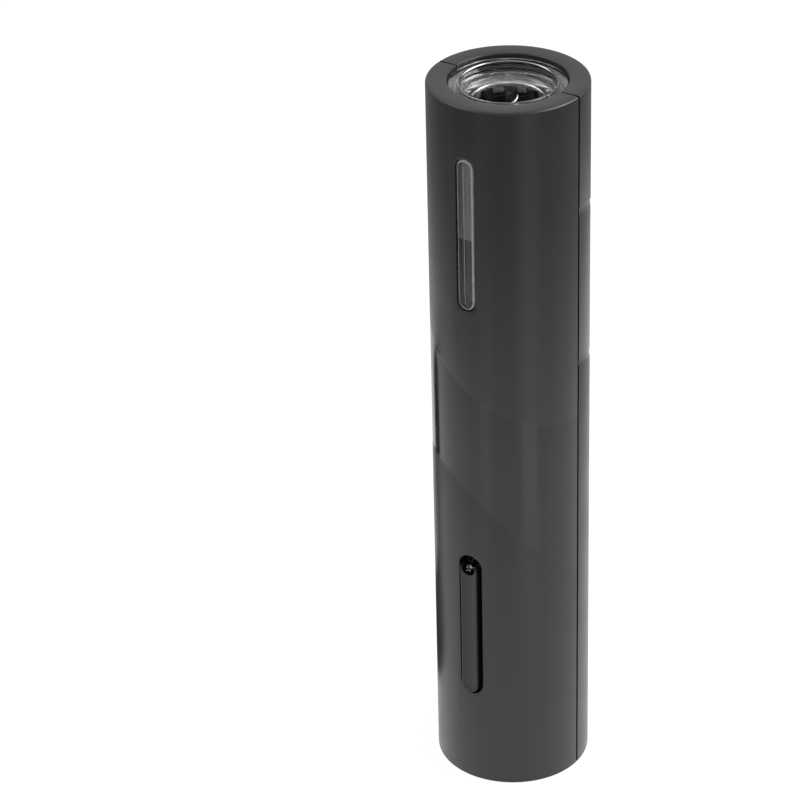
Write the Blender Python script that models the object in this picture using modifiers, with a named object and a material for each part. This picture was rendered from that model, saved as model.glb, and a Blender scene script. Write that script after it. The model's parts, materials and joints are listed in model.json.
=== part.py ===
"""Electric wine opener, stood on its base with its bottle mouth up.

Units are metres, +Z is up, and the origin is the centre of the base. The window and the
rocker face -Y, and the casing's two halves meet on the plane y = 0.
"""

from math import ceil, cos, pi, radians, sin, sqrt

import bmesh
import bpy
from mathutils import Matrix, Vector

MM = 0.001
GAP = 0.3 * MM  # between pieces that rest on each other
BITE = 0.5 * MM  # how far two shapes of one piece run into each other
SHELL_STEPS = 36
ROUND_STEPS = 24
SMALL_STEPS = 10

# Casing
BODY_R = 26.0 * MM
BODY_HEIGHT = 252.7 * MM
WALL = 2.3 * MM
BASE_WALL = 2.5 * MM
RIM_THICKNESS = 3.0 * MM
RIM_EDGE = 0.9 * MM
MOUTH_MARGIN = 2.84 * MM  # flange that shows between the bead and the rim
SEAM = 0.3 * MM
RIB = 2.0 * MM

# Bottle collar and its sleeve
COLLAR_DROP = 1.4 * MM  # flange below the rim's top
COLLAR_FLANGE = 2.0 * MM
BEAD_DROP = 1.0 * MM
BEAD_WIDTH = 1.3 * MM
LIP_R = 15.1 * MM  # takes a bottle's lip
SEAT_DEPTH = 6.8 * MM  # the lip's seat, below the rim's top
THROAT_R = 11.8 * MM
SLEEVE_WALL = 1.6 * MM
SLEEVE_BOTTOM = 206.0 * MM

# Window and rocker slot in the front shell
WINDOW_LOW = 181.9 * MM
WINDOW_HIGH = 235.5 * MM
WINDOW_WIDTH = 7.0 * MM
WINDOW_FLANGE = 1.8 * MM
LENS_THICKNESS = 1.5 * MM
SLOT_LOW = 35.0 * MM
SLOT_HIGH = 89.9 * MM
SLOT_WIDTH = 8.7 * MM
ROCKER_LOW_GAP = 1.0 * MM
ROCKER_TOP_GAP = 2.2 * MM
ROCKER_WIDTH = 6.3 * MM
ROCKER_RISE = 1.3 * MM
ROCKER_FLANGE = 2.15 * MM
ROCKER_FLANGE_R = 22.5 * MM
ROCKER_INNER_R = 21.4 * MM
PIVOT_R = 20.5 * MM
PIN_R = 0.75 * MM
SWITCH_ARM = 17.0 * MM
SWITCH_SIDE = 6.0 * MM
SWITCH_DEPTH = 1.8 * MM
SWITCH_WELL = 1.2 * MM
PLUNGER_TRAVEL = 0.55 * MM
PLUNGER_R = 1.5 * MM
LIGHT_PIPE_R = 1.5 * MM
LIGHT_PIPE_DOWN = 2.5 * MM
LIGHT_PIPE_SINK = 0.35 * MM
LIGHT_PIPE_PLAY = 0.45 * MM

# Main board
BOARD_FRONT = 18.0 * MM
BOARD_THICKNESS = 1.6 * MM
BOARD_WIDTH = 18.4 * MM
BOARD_LOW = 29.5 * MM
BOARD_HIGH = 94.0 * MM

# Charging board and socket
CHARGE_BOARD_LOW = 9.0 * MM
CHARGE_BOARD_R = 20.0 * MM
SOCKET_WIDTH = 7.8 * MM
SOCKET_HEIGHT = 2.9 * MM
LED_BOARD = 1.2 * MM
LED_HEIGHT = 2.1 * MM
LED_R = 1.4 * MM
LED_ANGLE = radians(32.5)

# Battery
CELL_R = 9.2 * MM
CELL_LENGTH = 65.0 * MM
CELL_LOW = 29.0 * MM
CRADLE_WALL = 1.8 * MM
TAB_R = 5.0 * MM

# Motor
MOTOR_R = 14.0 * MM
MOTOR_LENGTH = 36.5 * MM
MOTOR_LOW = 101.5 * MM
MOTOR_WALL = 2.6 * MM
END_CAP = 2.4 * MM
SHAFT_R = 1.05 * MM
MOTOR_SCREW_R = 1.0 * MM
MOTOR_SCREW_ORBIT = 8.0 * MM
MOTOR_SCREW_HEAD = 1.1 * MM

# Gear train
MODULE = 0.8 * MM
SUN_TEETH = 12
PLANET_TEETH = 15
RING_TEETH = SUN_TEETH + 2 * PLANET_TEETH
TOOTH_TIP = 0.85  # of the module, beyond the pitch circle
TOOTH_ROOT = 1.2  # of the module, inside it
STAGE_HEIGHT = 6.6 * MM
RING_WALL = 2.74 * MM
PLATE = 2.5 * MM
CARRIER = 2.2 * MM
CARRIER_MARGIN = 3.6 * MM  # beyond the planets' axes
PLANET_PIN_R = 1.5 * MM
RUN_GAP = 0.6 * MM

# Output
HEX_R = 4.6 * MM
HUB_R = 7.0 * MM
HUB_SHOULDER_R = 9.0 * MM
HUB_HIGH = 200.0 * MM
BEARING_R = 12.5 * MM
BEARING_HEIGHT = 5.0 * MM
BEARING_HIGH = 187.7 * MM
CROSS_PIN_R = 1.0 * MM
BULKHEAD = 2.5 * MM
FRAME_WALL = 2.2 * MM

# Worm
WORM_WIRE = 2.6 * MM
WORM_COIL_R = 3.0 * MM
WORM_PITCH = 9.2 * MM
WORM_TIP_DEPTH = 5.6 * MM  # below the rim's top
WORM_TIP_ANGLE = radians(35)
WORM_SHANK = 8.0 * MM

# Screws
BOSS_R = 3.0 * MM
BOSS_GAP = 0.4 * MM  # to the chamber frame
SCREW_R = 1.0 * MM
HEAD_R = 1.9 * MM
SCREW_SINK = 3.2 * MM  # from the casing's surface to the head's seat
SCREW_BITE = 7.0 * MM  # into the front boss

for old in list(bpy.data.objects):
    bpy.data.objects.remove(old, do_unlink=True)

parts = bpy.data.collections.new("electric_wine_opener")
cutters = bpy.data.collections.new("cutters")
cutters.hide_render = True
bpy.context.scene.collection.children.link(parts)
bpy.context.scene.collection.children.link(cutters)


def material(name, colour, roughness, metallic=0.0, clear=0.0):
    made = bpy.data.materials.new(name)
    made.use_nodes = True
    shader = made.node_tree.nodes["Principled BSDF"]
    shader.inputs["Base Color"].default_value = (*colour, 1.0)
    shader.inputs["Roughness"].default_value = roughness
    shader.inputs["Metallic"].default_value = metallic
    shader.inputs["Transmission Weight"].default_value = clear
    made.diffuse_color = (*colour, 1.0)
    return made


BLACK = (0.02, 0.02, 0.022)
FINISHES = {
    "casing": material("casing", BLACK, 0.42),
    "button": material("button", (0.012, 0.012, 0.013), 0.3),
    "clear": material("clear", (0.9, 0.92, 0.93), 0.04, clear=1.0),
    "frame": material("frame", (0.03, 0.03, 0.03), 0.5),
    "steel": material("steel", (0.62, 0.62, 0.63), 0.25, 1.0),
    "worm": material("worm", (0.5, 0.5, 0.5), 0.3, 1.0),
    "motor": material("motor", (0.55, 0.56, 0.57), 0.35, 1.0),
    "board": material("board", (0.02, 0.16, 0.07), 0.4),
    "light_board": material("light_board", (0.4, 0.4, 0.39), 0.4),
    "part": material("part", (0.06, 0.06, 0.06), 0.5),
    "led": material("led", (0.9, 0.9, 0.8), 0.3),
    "cell": material("cell", (0.05, 0.2, 0.45), 0.4),
    "nickel": material("nickel", (0.7, 0.68, 0.62), 0.3, 1.0),
    "bronze": material("bronze", (0.55, 0.33, 0.14), 0.4, 1.0),
    "gear": material("gear", (0.75, 0.74, 0.7), 0.45),
    "red": material("red", (0.5, 0.02, 0.02), 0.5),
    "black": material("black", BLACK, 0.5),
}


def place(name, mesh, finish, collection=parts, origin=(0, 0, 0)):
    """An object for the mesh, whose points are in world space, with its origin at a point."""
    mesh.transform(Matrix.Translation(-Vector(origin)))
    made = bpy.data.objects.new(name, mesh)
    made.location = origin
    collection.objects.link(made)
    if finish:
        mesh.materials.append(FINISHES[finish])
    else:
        made.hide_render = True
        made.display_type = "WIRE"
    mesh.shade_smooth()
    mesh.set_sharp_from_angle(angle=radians(35))
    return made


def from_bmesh(name, solid, finish, origin):
    mesh = bpy.data.meshes.new(name)
    bmesh.ops.recalc_face_normals(solid, faces=solid.faces)
    solid.to_mesh(mesh)
    solid.free()
    return place(name, mesh, finish, parts if finish else cutters, origin)


def box(name, low, high, finish=None, turn=0.0, origin=(0, 0, 0)):
    """A block between two corners, turned about the Z axis."""
    low, high = Vector(low), Vector(high)
    solid = bmesh.new()
    shape = Matrix.Translation((low + high) / 2) @ Matrix.Diagonal((*(high - low), 1))
    bmesh.ops.create_cube(solid, size=1, matrix=Matrix.Rotation(turn, 4, "Z") @ shape)
    return from_bmesh(name, solid, finish, origin)


def rod(name, start, end, radius, finish=None, steps=SMALL_STEPS, origin=(0, 0, 0)):
    """A cylinder from one point to another."""
    start, end = Vector(start), Vector(end)
    turn = Vector((0, 0, 1)).rotation_difference(end - start).to_matrix().to_4x4()
    solid = bmesh.new()
    bmesh.ops.create_cone(
        solid,
        cap_ends=True,
        segments=steps,
        radius1=radius,
        radius2=radius,
        depth=(end - start).length,
        matrix=Matrix.Translation((start + end) / 2) @ turn,
    )
    return from_bmesh(name, solid, finish, origin)


def turned(name, profile, finish=None, steps=ROUND_STEPS, origin=(0, 0, 0)):
    """A profile of (radius, height) points, top to bottom on its outer side, turned about Z.

    The profile closes on itself, but an edge that lies on the axis is left out.
    """
    solid = bmesh.new()
    points = [solid.verts.new((radius, 0, height)) for radius, height in profile]
    for first, second in zip(points, points[1:] + points[:1]):
        if first.co.x or second.co.x:
            solid.edges.new((first, second))
    mesh = bpy.data.meshes.new(name)
    solid.to_mesh(mesh)
    solid.free()
    made = place(name, mesh, finish, parts if finish else cutters)
    screw = made.modifiers.new("turn", "SCREW")
    screw.axis = "Z"
    screw.angle = 2 * pi
    screw.steps = screw.render_steps = steps
    screw.use_merge_vertices = True
    screw.merge_threshold = 0.00001
    return settled(made, origin)


def settled(made, origin=(0, 0, 0)):
    """The object with its modifiers and its curve made a plain welded mesh."""
    bpy.context.view_layer.update()
    graph = bpy.context.evaluated_depsgraph_get()
    mesh = bpy.data.meshes.new_from_object(made.evaluated_get(graph))
    mesh.transform(made.matrix_world)
    name = made.name
    collection = made.users_collection[0]
    hidden = made.hide_render
    slots = [slot.material for slot in made.material_slots]
    bpy.data.objects.remove(made, do_unlink=True)
    solid = bmesh.new()
    solid.from_mesh(mesh)
    bmesh.ops.remove_doubles(solid, verts=solid.verts, dist=0.000002)
    bmesh.ops.recalc_face_normals(solid, faces=solid.faces)
    solid.to_mesh(mesh)
    solid.free()
    mesh.materials.clear()
    again = place(name, mesh, None, collection, origin)
    for slot in slots:
        mesh.materials.append(slot)
    again.hide_render = hidden
    again.display_type = "WIRE" if hidden else "TEXTURED"
    return again


def plate(name, outlines, low, high, finish=None, upright=False, origin=(0, 0, 0)):
    """Closed outlines filled and extruded from low to high, along Z or, upright, along Y."""
    curve = bpy.data.curves.new(name, "CURVE")
    curve.dimensions = "2D"
    curve.fill_mode = "BOTH"
    curve.extrude = (high - low) / 2
    for outline in outlines:
        spline = curve.splines.new("POLY")
        spline.points.add(len(outline) - 1)
        for point, (across, along) in zip(spline.points, outline):
            point.co = (across, along, 0, 1)
        spline.use_cyclic_u = True
    made = bpy.data.objects.new(name, curve)
    (parts if finish else cutters).objects.link(made)
    made.hide_render = not finish
    turn = Matrix.Rotation(pi / 2, 4, "X") if upright else Matrix.Identity(4)
    shift = (0, (low + high) / 2, 0) if upright else (0, 0, (low + high) / 2)
    made.matrix_world = Matrix.Translation(shift) @ turn
    if finish:
        curve.materials.append(FINISHES[finish])
    return settled(made, origin)


def circle(radius, centre=(0, 0), steps=SMALL_STEPS):
    turns = [2 * pi * step / steps for step in range(steps)]
    return [(centre[0] + radius * cos(a), centre[1] + radius * sin(a)) for a in turns]


def obround(width, low, high, steps=8):
    """A slot's outline: straight sides with round ends, between two heights."""
    half = width / 2
    ends = [(high - half, 0.0), (low + half, pi)]
    return [
        (half * cos(start + pi * step / steps), height + half * sin(start + pi * step / steps))
        for height, start in ends
        for step in range(steps + 1)
    ]


def change(made, other, operation="DIFFERENCE"):
    """A Boolean by another object, which becomes a hidden operand."""
    other.hide_render = True
    other.display_type = "WIRE"
    for collection in list(other.users_collection):
        collection.objects.unlink(other)
    cutters.objects.link(other)
    boolean = made.modifiers.new(operation.lower(), "BOOLEAN")
    boolean.operation = operation
    boolean.object = other
    return made


def curved_plate(name, width, low, high, inner, outer, finish=None, origin=(0, 0, 0)):
    """An obround piece of a tube's front wall."""
    made = plate(name, [obround(width, low, high)], -outer * 1.1, -inner * 0.6, finish, True)
    ring = [(outer, high), (outer, low), (inner, low), (inner, high)]
    spare = 2 * MM
    ring = [(r, z + (spare if z == high else -spare)) for r, z in ring]
    change(made, turned(name + "_wall", ring, steps=2 * SHELL_STEPS), "INTERSECT")
    return settled(made, origin)


def wire(name, route, radius, finish, count=8):
    """A lead through a route's points, on one smooth curve."""
    curve = bpy.data.curves.new(name, "CURVE")
    curve.dimensions = "3D"
    curve.bevel_depth = radius
    curve.bevel_resolution = 1
    curve.use_fill_caps = True
    knots = [Vector(point) for point in route]
    knots = [2 * knots[0] - knots[1]] + knots + [2 * knots[-1] - knots[-2]]
    spans = len(knots) - 3
    spline = curve.splines.new("POLY")
    spline.points.add(count)
    for index, point in enumerate(spline.points):
        at = min(index * spans / count, spans - 1e-9)
        span = int(at)
        t = at - span
        a, b, c, d = knots[span : span + 4]
        smooth = 2 * b + (c - a) * t + (2 * a - 5 * b + 4 * c - d) * t**2
        smooth += (3 * b - 3 * c + d - a) * t**3
        point.co = (*(smooth / 2), 1)
    made = bpy.data.objects.new(name, curve)
    parts.objects.link(made)
    curve.materials.append(FINISHES[finish])
    return settled(made)


# Heights that follow from the sizes above
rim_under = BODY_HEIGHT - RIM_THICKNESS
inner_r = BODY_R - WALL
bead_outer_r = LIP_R + BEAD_WIDTH
mouth_r = bead_outer_r + MOUTH_MARGIN
flange_high = BODY_HEIGHT - COLLAR_DROP
step_high = rim_under - GAP
step_low = step_high - COLLAR_FLANGE
seat_high = BODY_HEIGHT - SEAT_DEPTH
sleeve_outer = THROAT_R + 0.5 * MM + SLEEVE_WALL
frame_inner = sleeve_outer + GAP + 0.1 * MM
frame_outer = frame_inner + FRAME_WALL
cup_outer = LIP_R + SLEEVE_WALL
cup_low = seat_high - SLEEVE_WALL
frame_high = cup_low - GAP
boss_x = frame_outer + BOSS_GAP + BOSS_R
screw_seat = sqrt(BODY_R**2 - (boss_x + HEAD_R) ** 2) - SCREW_SINK

ring_pitch_r = MODULE * RING_TEETH / 2
gearbox_r = ring_pitch_r + TOOTH_ROOT * MODULE + RING_WALL
orbit = MODULE * (SUN_TEETH + PLANET_TEETH) / 2
carrier_r = orbit + CARRIER_MARGIN

motor_high = MOTOR_LOW + MOTOR_LENGTH
plate_low = motor_high + GAP
plate_high = plate_low + PLATE
stage_one_low = plate_high + MOTOR_SCREW_HEAD + 3 * GAP
stage_one_high = stage_one_low + STAGE_HEIGHT
carrier_one_low = stage_one_high + RUN_GAP
carrier_one_high = carrier_one_low + CARRIER
stage_two_low = carrier_one_high + RUN_GAP
stage_two_high = stage_two_low + STAGE_HEIGHT
carrier_two_low = stage_two_high + RUN_GAP
carrier_two_high = carrier_two_low + 1.6 * CARRIER
ring_high = carrier_two_high + RUN_GAP
cover_low = ring_high + GAP
cover_high = cover_low + PLATE + 0.5 * MM
bush_high = cover_high + GAP + 1.4 * MM
frame_low = cover_high + GAP
frame_foot_high = frame_low + PLATE

bearing_low = BEARING_HIGH - BEARING_HEIGHT
bulkhead_low = BEARING_HIGH + GAP
bulkhead_high = bulkhead_low + BULKHEAD
shoulder_high = bearing_low - GAP
worm_tip = BODY_HEIGHT - WORM_TIP_DEPTH
planet_angles = {"a": 0.0, "b": 2 * pi / 3, "c": 4 * pi / 3}

led_high = step_low - 2 * GAP - RIB
led_board_high = led_high - LED_HEIGHT - GAP
led_board_low = led_board_high - LED_BOARD
rib_spans = {
    "charge_low": (CHARGE_BOARD_LOW - GAP - RIB, CHARGE_BOARD_R - RIB),
    "charge_high": (CHARGE_BOARD_LOW + BOARD_THICKNESS + GAP, CHARGE_BOARD_R - RIB),
    "motor_low": (MOTOR_LOW + 2 * MM, MOTOR_R + GAP),
    "motor_high": (motor_high - 6 * MM, MOTOR_R + GAP),
    "gearbox_low": (plate_low - GAP - RIB, MOTOR_R + 1 * MM),
    "gearbox_high": (frame_foot_high + GAP, frame_outer + GAP),
    "led_board": (led_board_low - GAP - RIB, frame_outer + GAP),
    "collar": (step_low - GAP - RIB, inner_r - RIB),
}
screw_heights = {"low": 20.0 * MM, "mid": 118.0 * MM, "high": 222.0 * MM}
lead_angle = radians(235)
lead_r = (gearbox_r + inner_r) / 2


def casing_profile():
    """The shell's section: outer wall, base and an inner wall that carries the ribs."""
    bend = 0.3 * RIM_EDGE
    outer = [
        (mouth_r, BODY_HEIGHT - bend),
        (mouth_r + bend, BODY_HEIGHT),
        (BODY_R - RIM_EDGE, BODY_HEIGHT),
        (BODY_R - bend, BODY_HEIGHT - bend),
        (BODY_R, BODY_HEIGHT - RIM_EDGE),
        (BODY_R, RIM_EDGE),
        (BODY_R - bend, bend),
        (BODY_R - RIM_EDGE, 0),
        (0, 0),
        (0, BASE_WALL),
        (inner_r, BASE_WALL),
    ]
    for low, reach in sorted(rib_spans.values()):
        outer += [(inner_r, low), (reach, low), (reach, low + RIB), (inner_r, low + RIB)]
    return outer + [(inner_r, rim_under), (mouth_r, rim_under)]


def screw_places():
    for hand in (-1, 1):
        for height in screw_heights.values():
            yield hand * boss_x, height


def shell(name, side):
    made = turned(name, casing_profile(), "casing", SHELL_STEPS)
    far = 2 * BODY_R
    keep = sorted((side * SEAM / 2, side * far))
    half = box(name + "_half", (-far, keep[0], -far), (far, keep[1], BODY_HEIGHT + far))
    change(made, half, "INTERSECT")
    core = rod(name + "_core", (0, 0, 0), (0, 0, BODY_HEIGHT), inner_r + WALL / 2,
               steps=SHELL_STEPS)
    for index, (x, z) in enumerate(screw_places()):
        post = rod(f"{name}_boss_{index}", (x, side * SEAM / 2, z), (x, side * BODY_R, z), BOSS_R)
        change(post, core, "INTERSECT")
        change(made, post, "UNION")
    channel_low = MOTOR_LOW - RIB
    channel = box(
        name + "_lead_channel",
        (gearbox_r + GAP, -1.5 * MM, channel_low),
        (inner_r - GAP, 1.5 * MM, led_board_low),
        turn=lead_angle,
    )
    return change(made, channel) if side < 0 else made


def front_shell():
    made = shell("front_shell", -1)
    window = plate(
        "window_opening", [obround(WINDOW_WIDTH, WINDOW_LOW, WINDOW_HIGH)], -2 * BODY_R, -MOTOR_R,
        upright=True,
    )
    change(made, window)
    slot = plate(
        "rocker_slot", [obround(SLOT_WIDTH, SLOT_LOW, SLOT_HIGH)], -2 * BODY_R, -MOTOR_R,
        upright=True,
    )
    change(made, slot)
    for hand in (-1, 1):
        inner = hand * (ROCKER_WIDTH / 2 + ROCKER_FLANGE + 0.5 * MM)
        outer = inner + hand * 2.0 * MM
        low_x, high_x = sorted((inner, outer))
        ear = box(
            f"pivot_ear_{hand}",
            (low_x, -inner_r - GAP, rocker_middle() - 2.7 * MM),
            (high_x, -PIVOT_R + 1.4 * MM, rocker_middle() + 2.7 * MM),
        )
        change(made, ear, "UNION")
    pivot = rod(
        "pivot_hole", (-MOTOR_R, -PIVOT_R, rocker_middle()), (MOTOR_R, -PIVOT_R, rocker_middle()),
        PIN_R + GAP,
    )
    for x, z, screwed in board_posts():
        post = rod(
            f"board_post_{z:.3f}_{x:.3f}", (x, -BOARD_FRONT - GAP, z), (x, -inner_r, z), 1.8 * MM
        )
        change(made, post, "UNION")
    change(made, pivot)
    for x, z, screwed in board_posts():
        if screwed:
            y_end = -BOARD_FRONT - 4.2 * MM
            pilot = rod(
                f"board_pilot_{z:.3f}", (x, -BOARD_FRONT + GAP, z), (x, y_end, z), 0.8 * MM + GAP
            )
            change(made, pilot)
    for index, (x, z) in enumerate(screw_places()):
        end = -SCREW_BITE - 2 * GAP
        pilot = rod(f"front_pilot_{index}", (x, GAP, z), (x, end, z), SCREW_R + GAP)
        change(made, pilot)
    return made


def rear_shell():
    made = shell("rear_shell", 1)
    for index, (x, z) in enumerate(screw_places()):
        hole = rod(f"rear_hole_{index}", (x, -GAP, z), (x, BODY_R, z), SCREW_R + GAP)
        change(made, hole)
        sink = rod(f"rear_sink_{index}", (x, screw_seat, z), (x, BODY_R, z), HEAD_R + GAP)
        change(made, sink)
    low, high = socket_heights()
    half = SOCKET_WIDTH / 2 + 0.8 * MM
    port = box(
        "charge_port", (-half, MOTOR_R, low - 0.45 * MM), (half, 2 * BODY_R, high + 0.45 * MM)
    )
    return change(made, port)


def rocker_ends():
    return SLOT_LOW + ROCKER_LOW_GAP, SLOT_HIGH - ROCKER_TOP_GAP


def rocker_middle():
    return sum(rocker_ends()) / 2


def board_posts():
    """(x, z, has a screw) of the posts that carry the main board."""
    edge = BOARD_WIDTH / 2 - 2.0 * MM
    rise = 3.0 * MM
    for hand in (-1, 1):
        yield hand * edge, BOARD_LOW + rise, hand < 0
        yield hand * edge, BOARD_HIGH - rise, hand > 0


def socket_heights():
    low = CHARGE_BOARD_LOW + BOARD_THICKNESS + GAP
    return low, low + SOCKET_HEIGHT


def window_lens():
    fit = 2 * GAP
    made = curved_plate(
        "window_lens", WINDOW_WIDTH - fit, WINDOW_LOW + GAP, WINDOW_HIGH - GAP,
        inner_r - GAP - BITE, BODY_R, "clear",
    )
    wide = WINDOW_WIDTH + 2 * WINDOW_FLANGE
    flange = curved_plate(
        "lens_flange", wide, WINDOW_LOW - WINDOW_FLANGE, WINDOW_HIGH + WINDOW_FLANGE,
        inner_r - LENS_THICKNESS, inner_r - GAP,
    )
    change(made, flange, "UNION")
    return settled(made)


def bottle_collar():
    bore = THROAT_R + 0.5 * MM
    bead_high = BODY_HEIGHT - BEAD_DROP
    step_r = inner_r - 1.5 * MM
    turned(
        "bottle_collar",
        [
            (LIP_R + 0.3 * MM, bead_high - 0.2 * MM),
            ((LIP_R + bead_outer_r) / 2, bead_high),
            (bead_outer_r - 0.3 * MM, bead_high - 0.2 * MM),
            (bead_outer_r, flange_high),
            (mouth_r - GAP, flange_high),
            (mouth_r - GAP, step_high),
            (step_r, step_high),
            (step_r, step_low),
            (cup_outer, step_low),
            (cup_outer, cup_low),
            (sleeve_outer, cup_low),
            (sleeve_outer, SLEEVE_BOTTOM),
            (bore, SLEEVE_BOTTOM),
            (bore, seat_high - 2.4 * MM),
            (THROAT_R, seat_high - 1.2 * MM),
            (THROAT_R, seat_high),
            (LIP_R - 0.6 * MM, seat_high + 0.8 * MM),
            (LIP_R, seat_high + 3.2 * MM),
        ],
        "clear",
    )


def chamber_frame():
    pocket_r = BEARING_R + GAP
    made = turned(
        "chamber_frame",
        [
            (frame_inner, frame_high),
            (frame_outer, frame_high),
            (frame_outer, frame_foot_high),
            (gearbox_r, frame_foot_high),
            (gearbox_r, frame_low),
            (frame_inner, frame_low),
            (frame_inner, bearing_low - 2 * MM),
            (pocket_r, bearing_low - 1 * MM),
            (pocket_r, bulkhead_low),
            (HUB_R + 1 * MM, bulkhead_low),
            (HUB_R + 1 * MM, bulkhead_high),
            (frame_inner, bulkhead_high),
        ],
        "frame",
    )
    tooth_depth = 3.5 * MM
    for index in range(6):
        reach = 2 * BODY_R
        notch = box(
            f"frame_notch_{index}",
            (-reach, -2 * MM, frame_high - tooth_depth),
            (reach, 2 * MM, frame_high + tooth_depth),
            turn=radians(15 + 30 * index),
        )
        change(made, notch)
    sight = plate(
        "frame_sight", [obround(10 * MM, bulkhead_high + GAP, WINDOW_HIGH + 2 * MM)],
        -2 * BODY_R, -HUB_R, upright=True,
    )
    return change(made, sight)


def rocker():
    """The rocker, the pin it turns on, and the light pipe through its upper end."""
    pivot = (0, -PIVOT_R, rocker_middle())
    low, high = rocker_ends()
    face = BODY_R + ROCKER_RISE
    made = curved_plate(
        "rocker_button", ROCKER_WIDTH, low, high, ROCKER_FLANGE_R - BITE, face, "button"
    )
    flange = curved_plate(
        "rocker_flange", ROCKER_WIDTH + 2 * ROCKER_FLANGE, low - 0.8 * MM, high + 0.8 * MM,
        ROCKER_INNER_R, ROCKER_FLANGE_R,
    )
    change(made, flange, "UNION")
    lug = box(
        "rocker_lug",
        (-2.4 * MM, -ROCKER_INNER_R - 0.6 * MM, rocker_middle() - 2.5 * MM),
        (2.4 * MM, -PIVOT_R + 1.7 * MM, rocker_middle() + 2.5 * MM),
    )
    change(made, lug, "UNION")
    bore = rod(
        "rocker_bore", (-MOTOR_R, -PIVOT_R, pivot[2]), (MOTOR_R, -PIVOT_R, pivot[2]), PIN_R + GAP
    )
    change(made, bore)
    pipe_z = high - LIGHT_PIPE_DOWN
    hole = rod(
        "light_pipe_hole", (0, -2 * BODY_R, pipe_z), (0, -MOTOR_R, pipe_z),
        LIGHT_PIPE_R + LIGHT_PIPE_PLAY,
    )
    change(made, hole)
    settled(made, pivot)
    half = ROCKER_WIDTH / 2 + ROCKER_FLANGE + 2.0 * MM
    rod("rocker_pin", (-half, -PIVOT_R, pivot[2]), (half, -PIVOT_R, pivot[2]), PIN_R, "steel")

    led_y = -BOARD_FRONT - GAP
    rod(
        "indicator_lens", (0, led_y - 1.6 * MM, pipe_z), (0, -face + LIGHT_PIPE_SINK, pipe_z),
        LIGHT_PIPE_R, "clear",
    )
    box(
        "indicator_led", (-1 * MM, led_y - 1.2 * MM, pipe_z - 0.8 * MM),
        (1 * MM, led_y, pipe_z + 0.8 * MM), "led",
    )


def switches():
    half = SWITCH_SIDE / 2
    back = -BOARD_FRONT - GAP
    front = back - SWITCH_DEPTH
    floor = front + SWITCH_WELL
    for end, hand in (("upper", 1), ("lower", -1)):
        z = rocker_middle() + hand * SWITCH_ARM
        made = box("switch_" + end, (-half, front, z - half), (half, back, z + half), "part")
        change(made, rod(f"{end}_well", (0, -BODY_R, z), (0, floor, z), PLUNGER_R + GAP))
        tip = -ROCKER_INNER_R + GAP
        root = floor - PLUNGER_TRAVEL - GAP
        rod("plunger_" + end, (0, tip, z), (0, root, z), PLUNGER_R, "part", origin=(0, tip, z))


def boards():
    made = box(
        "main_board", (-BOARD_WIDTH / 2, -BOARD_FRONT, BOARD_LOW),
        (BOARD_WIDTH / 2, -BOARD_FRONT + BOARD_THICKNESS, BOARD_HIGH), "board",
    )
    head_seat = -BOARD_FRONT + BOARD_THICKNESS + GAP
    names = iter(("board_screw_low", "board_screw_high"))
    for x, z, screwed in board_posts():
        if not screwed:
            continue
        change(made, rod(f"board_hole_{z:.3f}", (x, -BODY_R, z), (x, 0, z), 0.8 * MM + GAP))
        name = next(names)
        change(
            rod(name, (x, head_seat, z), (x, head_seat + 1.2 * MM, z), 1.6 * MM, "steel"),
            rod(name + "_shank", (x, head_seat + 0.4 * MM, z), (x, -BOARD_FRONT - 3.8 * MM, z),
                0.8 * MM),
            "UNION",
        )
    high = CHARGE_BOARD_LOW + BOARD_THICKNESS
    plate("charge_board", [circle(CHARGE_BOARD_R, steps=ROUND_STEPS)], CHARGE_BOARD_LOW, high,
          "board")
    low, high = socket_heights()
    half = SOCKET_WIDTH / 2
    back = CHARGE_BOARD_R - 3.5 * MM
    mouth = inner_r + GAP
    skin = 0.4 * MM
    socket = box("charge_socket", (-half, back, low), (half, mouth, high), "steel")
    change(
        socket,
        box("socket_hollow", (-half + skin, back + 1.5 * MM, low + skin),
            (half - skin, 2 * mouth, high - skin)),
    )
    middle = (low + high) / 2
    change(
        socket,
        box("socket_tongue", (-half / 2, back + 1 * MM, middle - 0.35 * MM),
            (half / 2, mouth - 1 * MM, middle + 0.35 * MM)),
        "UNION",
    )
    plate(
        "led_board",
        [circle(inner_r - 0.7 * MM, steps=ROUND_STEPS),
         circle(frame_outer + GAP, steps=ROUND_STEPS)],
        led_board_low, led_board_high, "light_board",
    )
    ring_r = (inner_r + frame_outer) / 2
    for side, angle in (("left", pi / 2 + LED_ANGLE), ("right", pi / 2 - LED_ANGLE)):
        x, y = ring_r * cos(angle), ring_r * sin(angle)
        rod("chamber_led_" + side, (x, y, led_board_high + GAP), (x, y, led_high), LED_R, "led")


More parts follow.
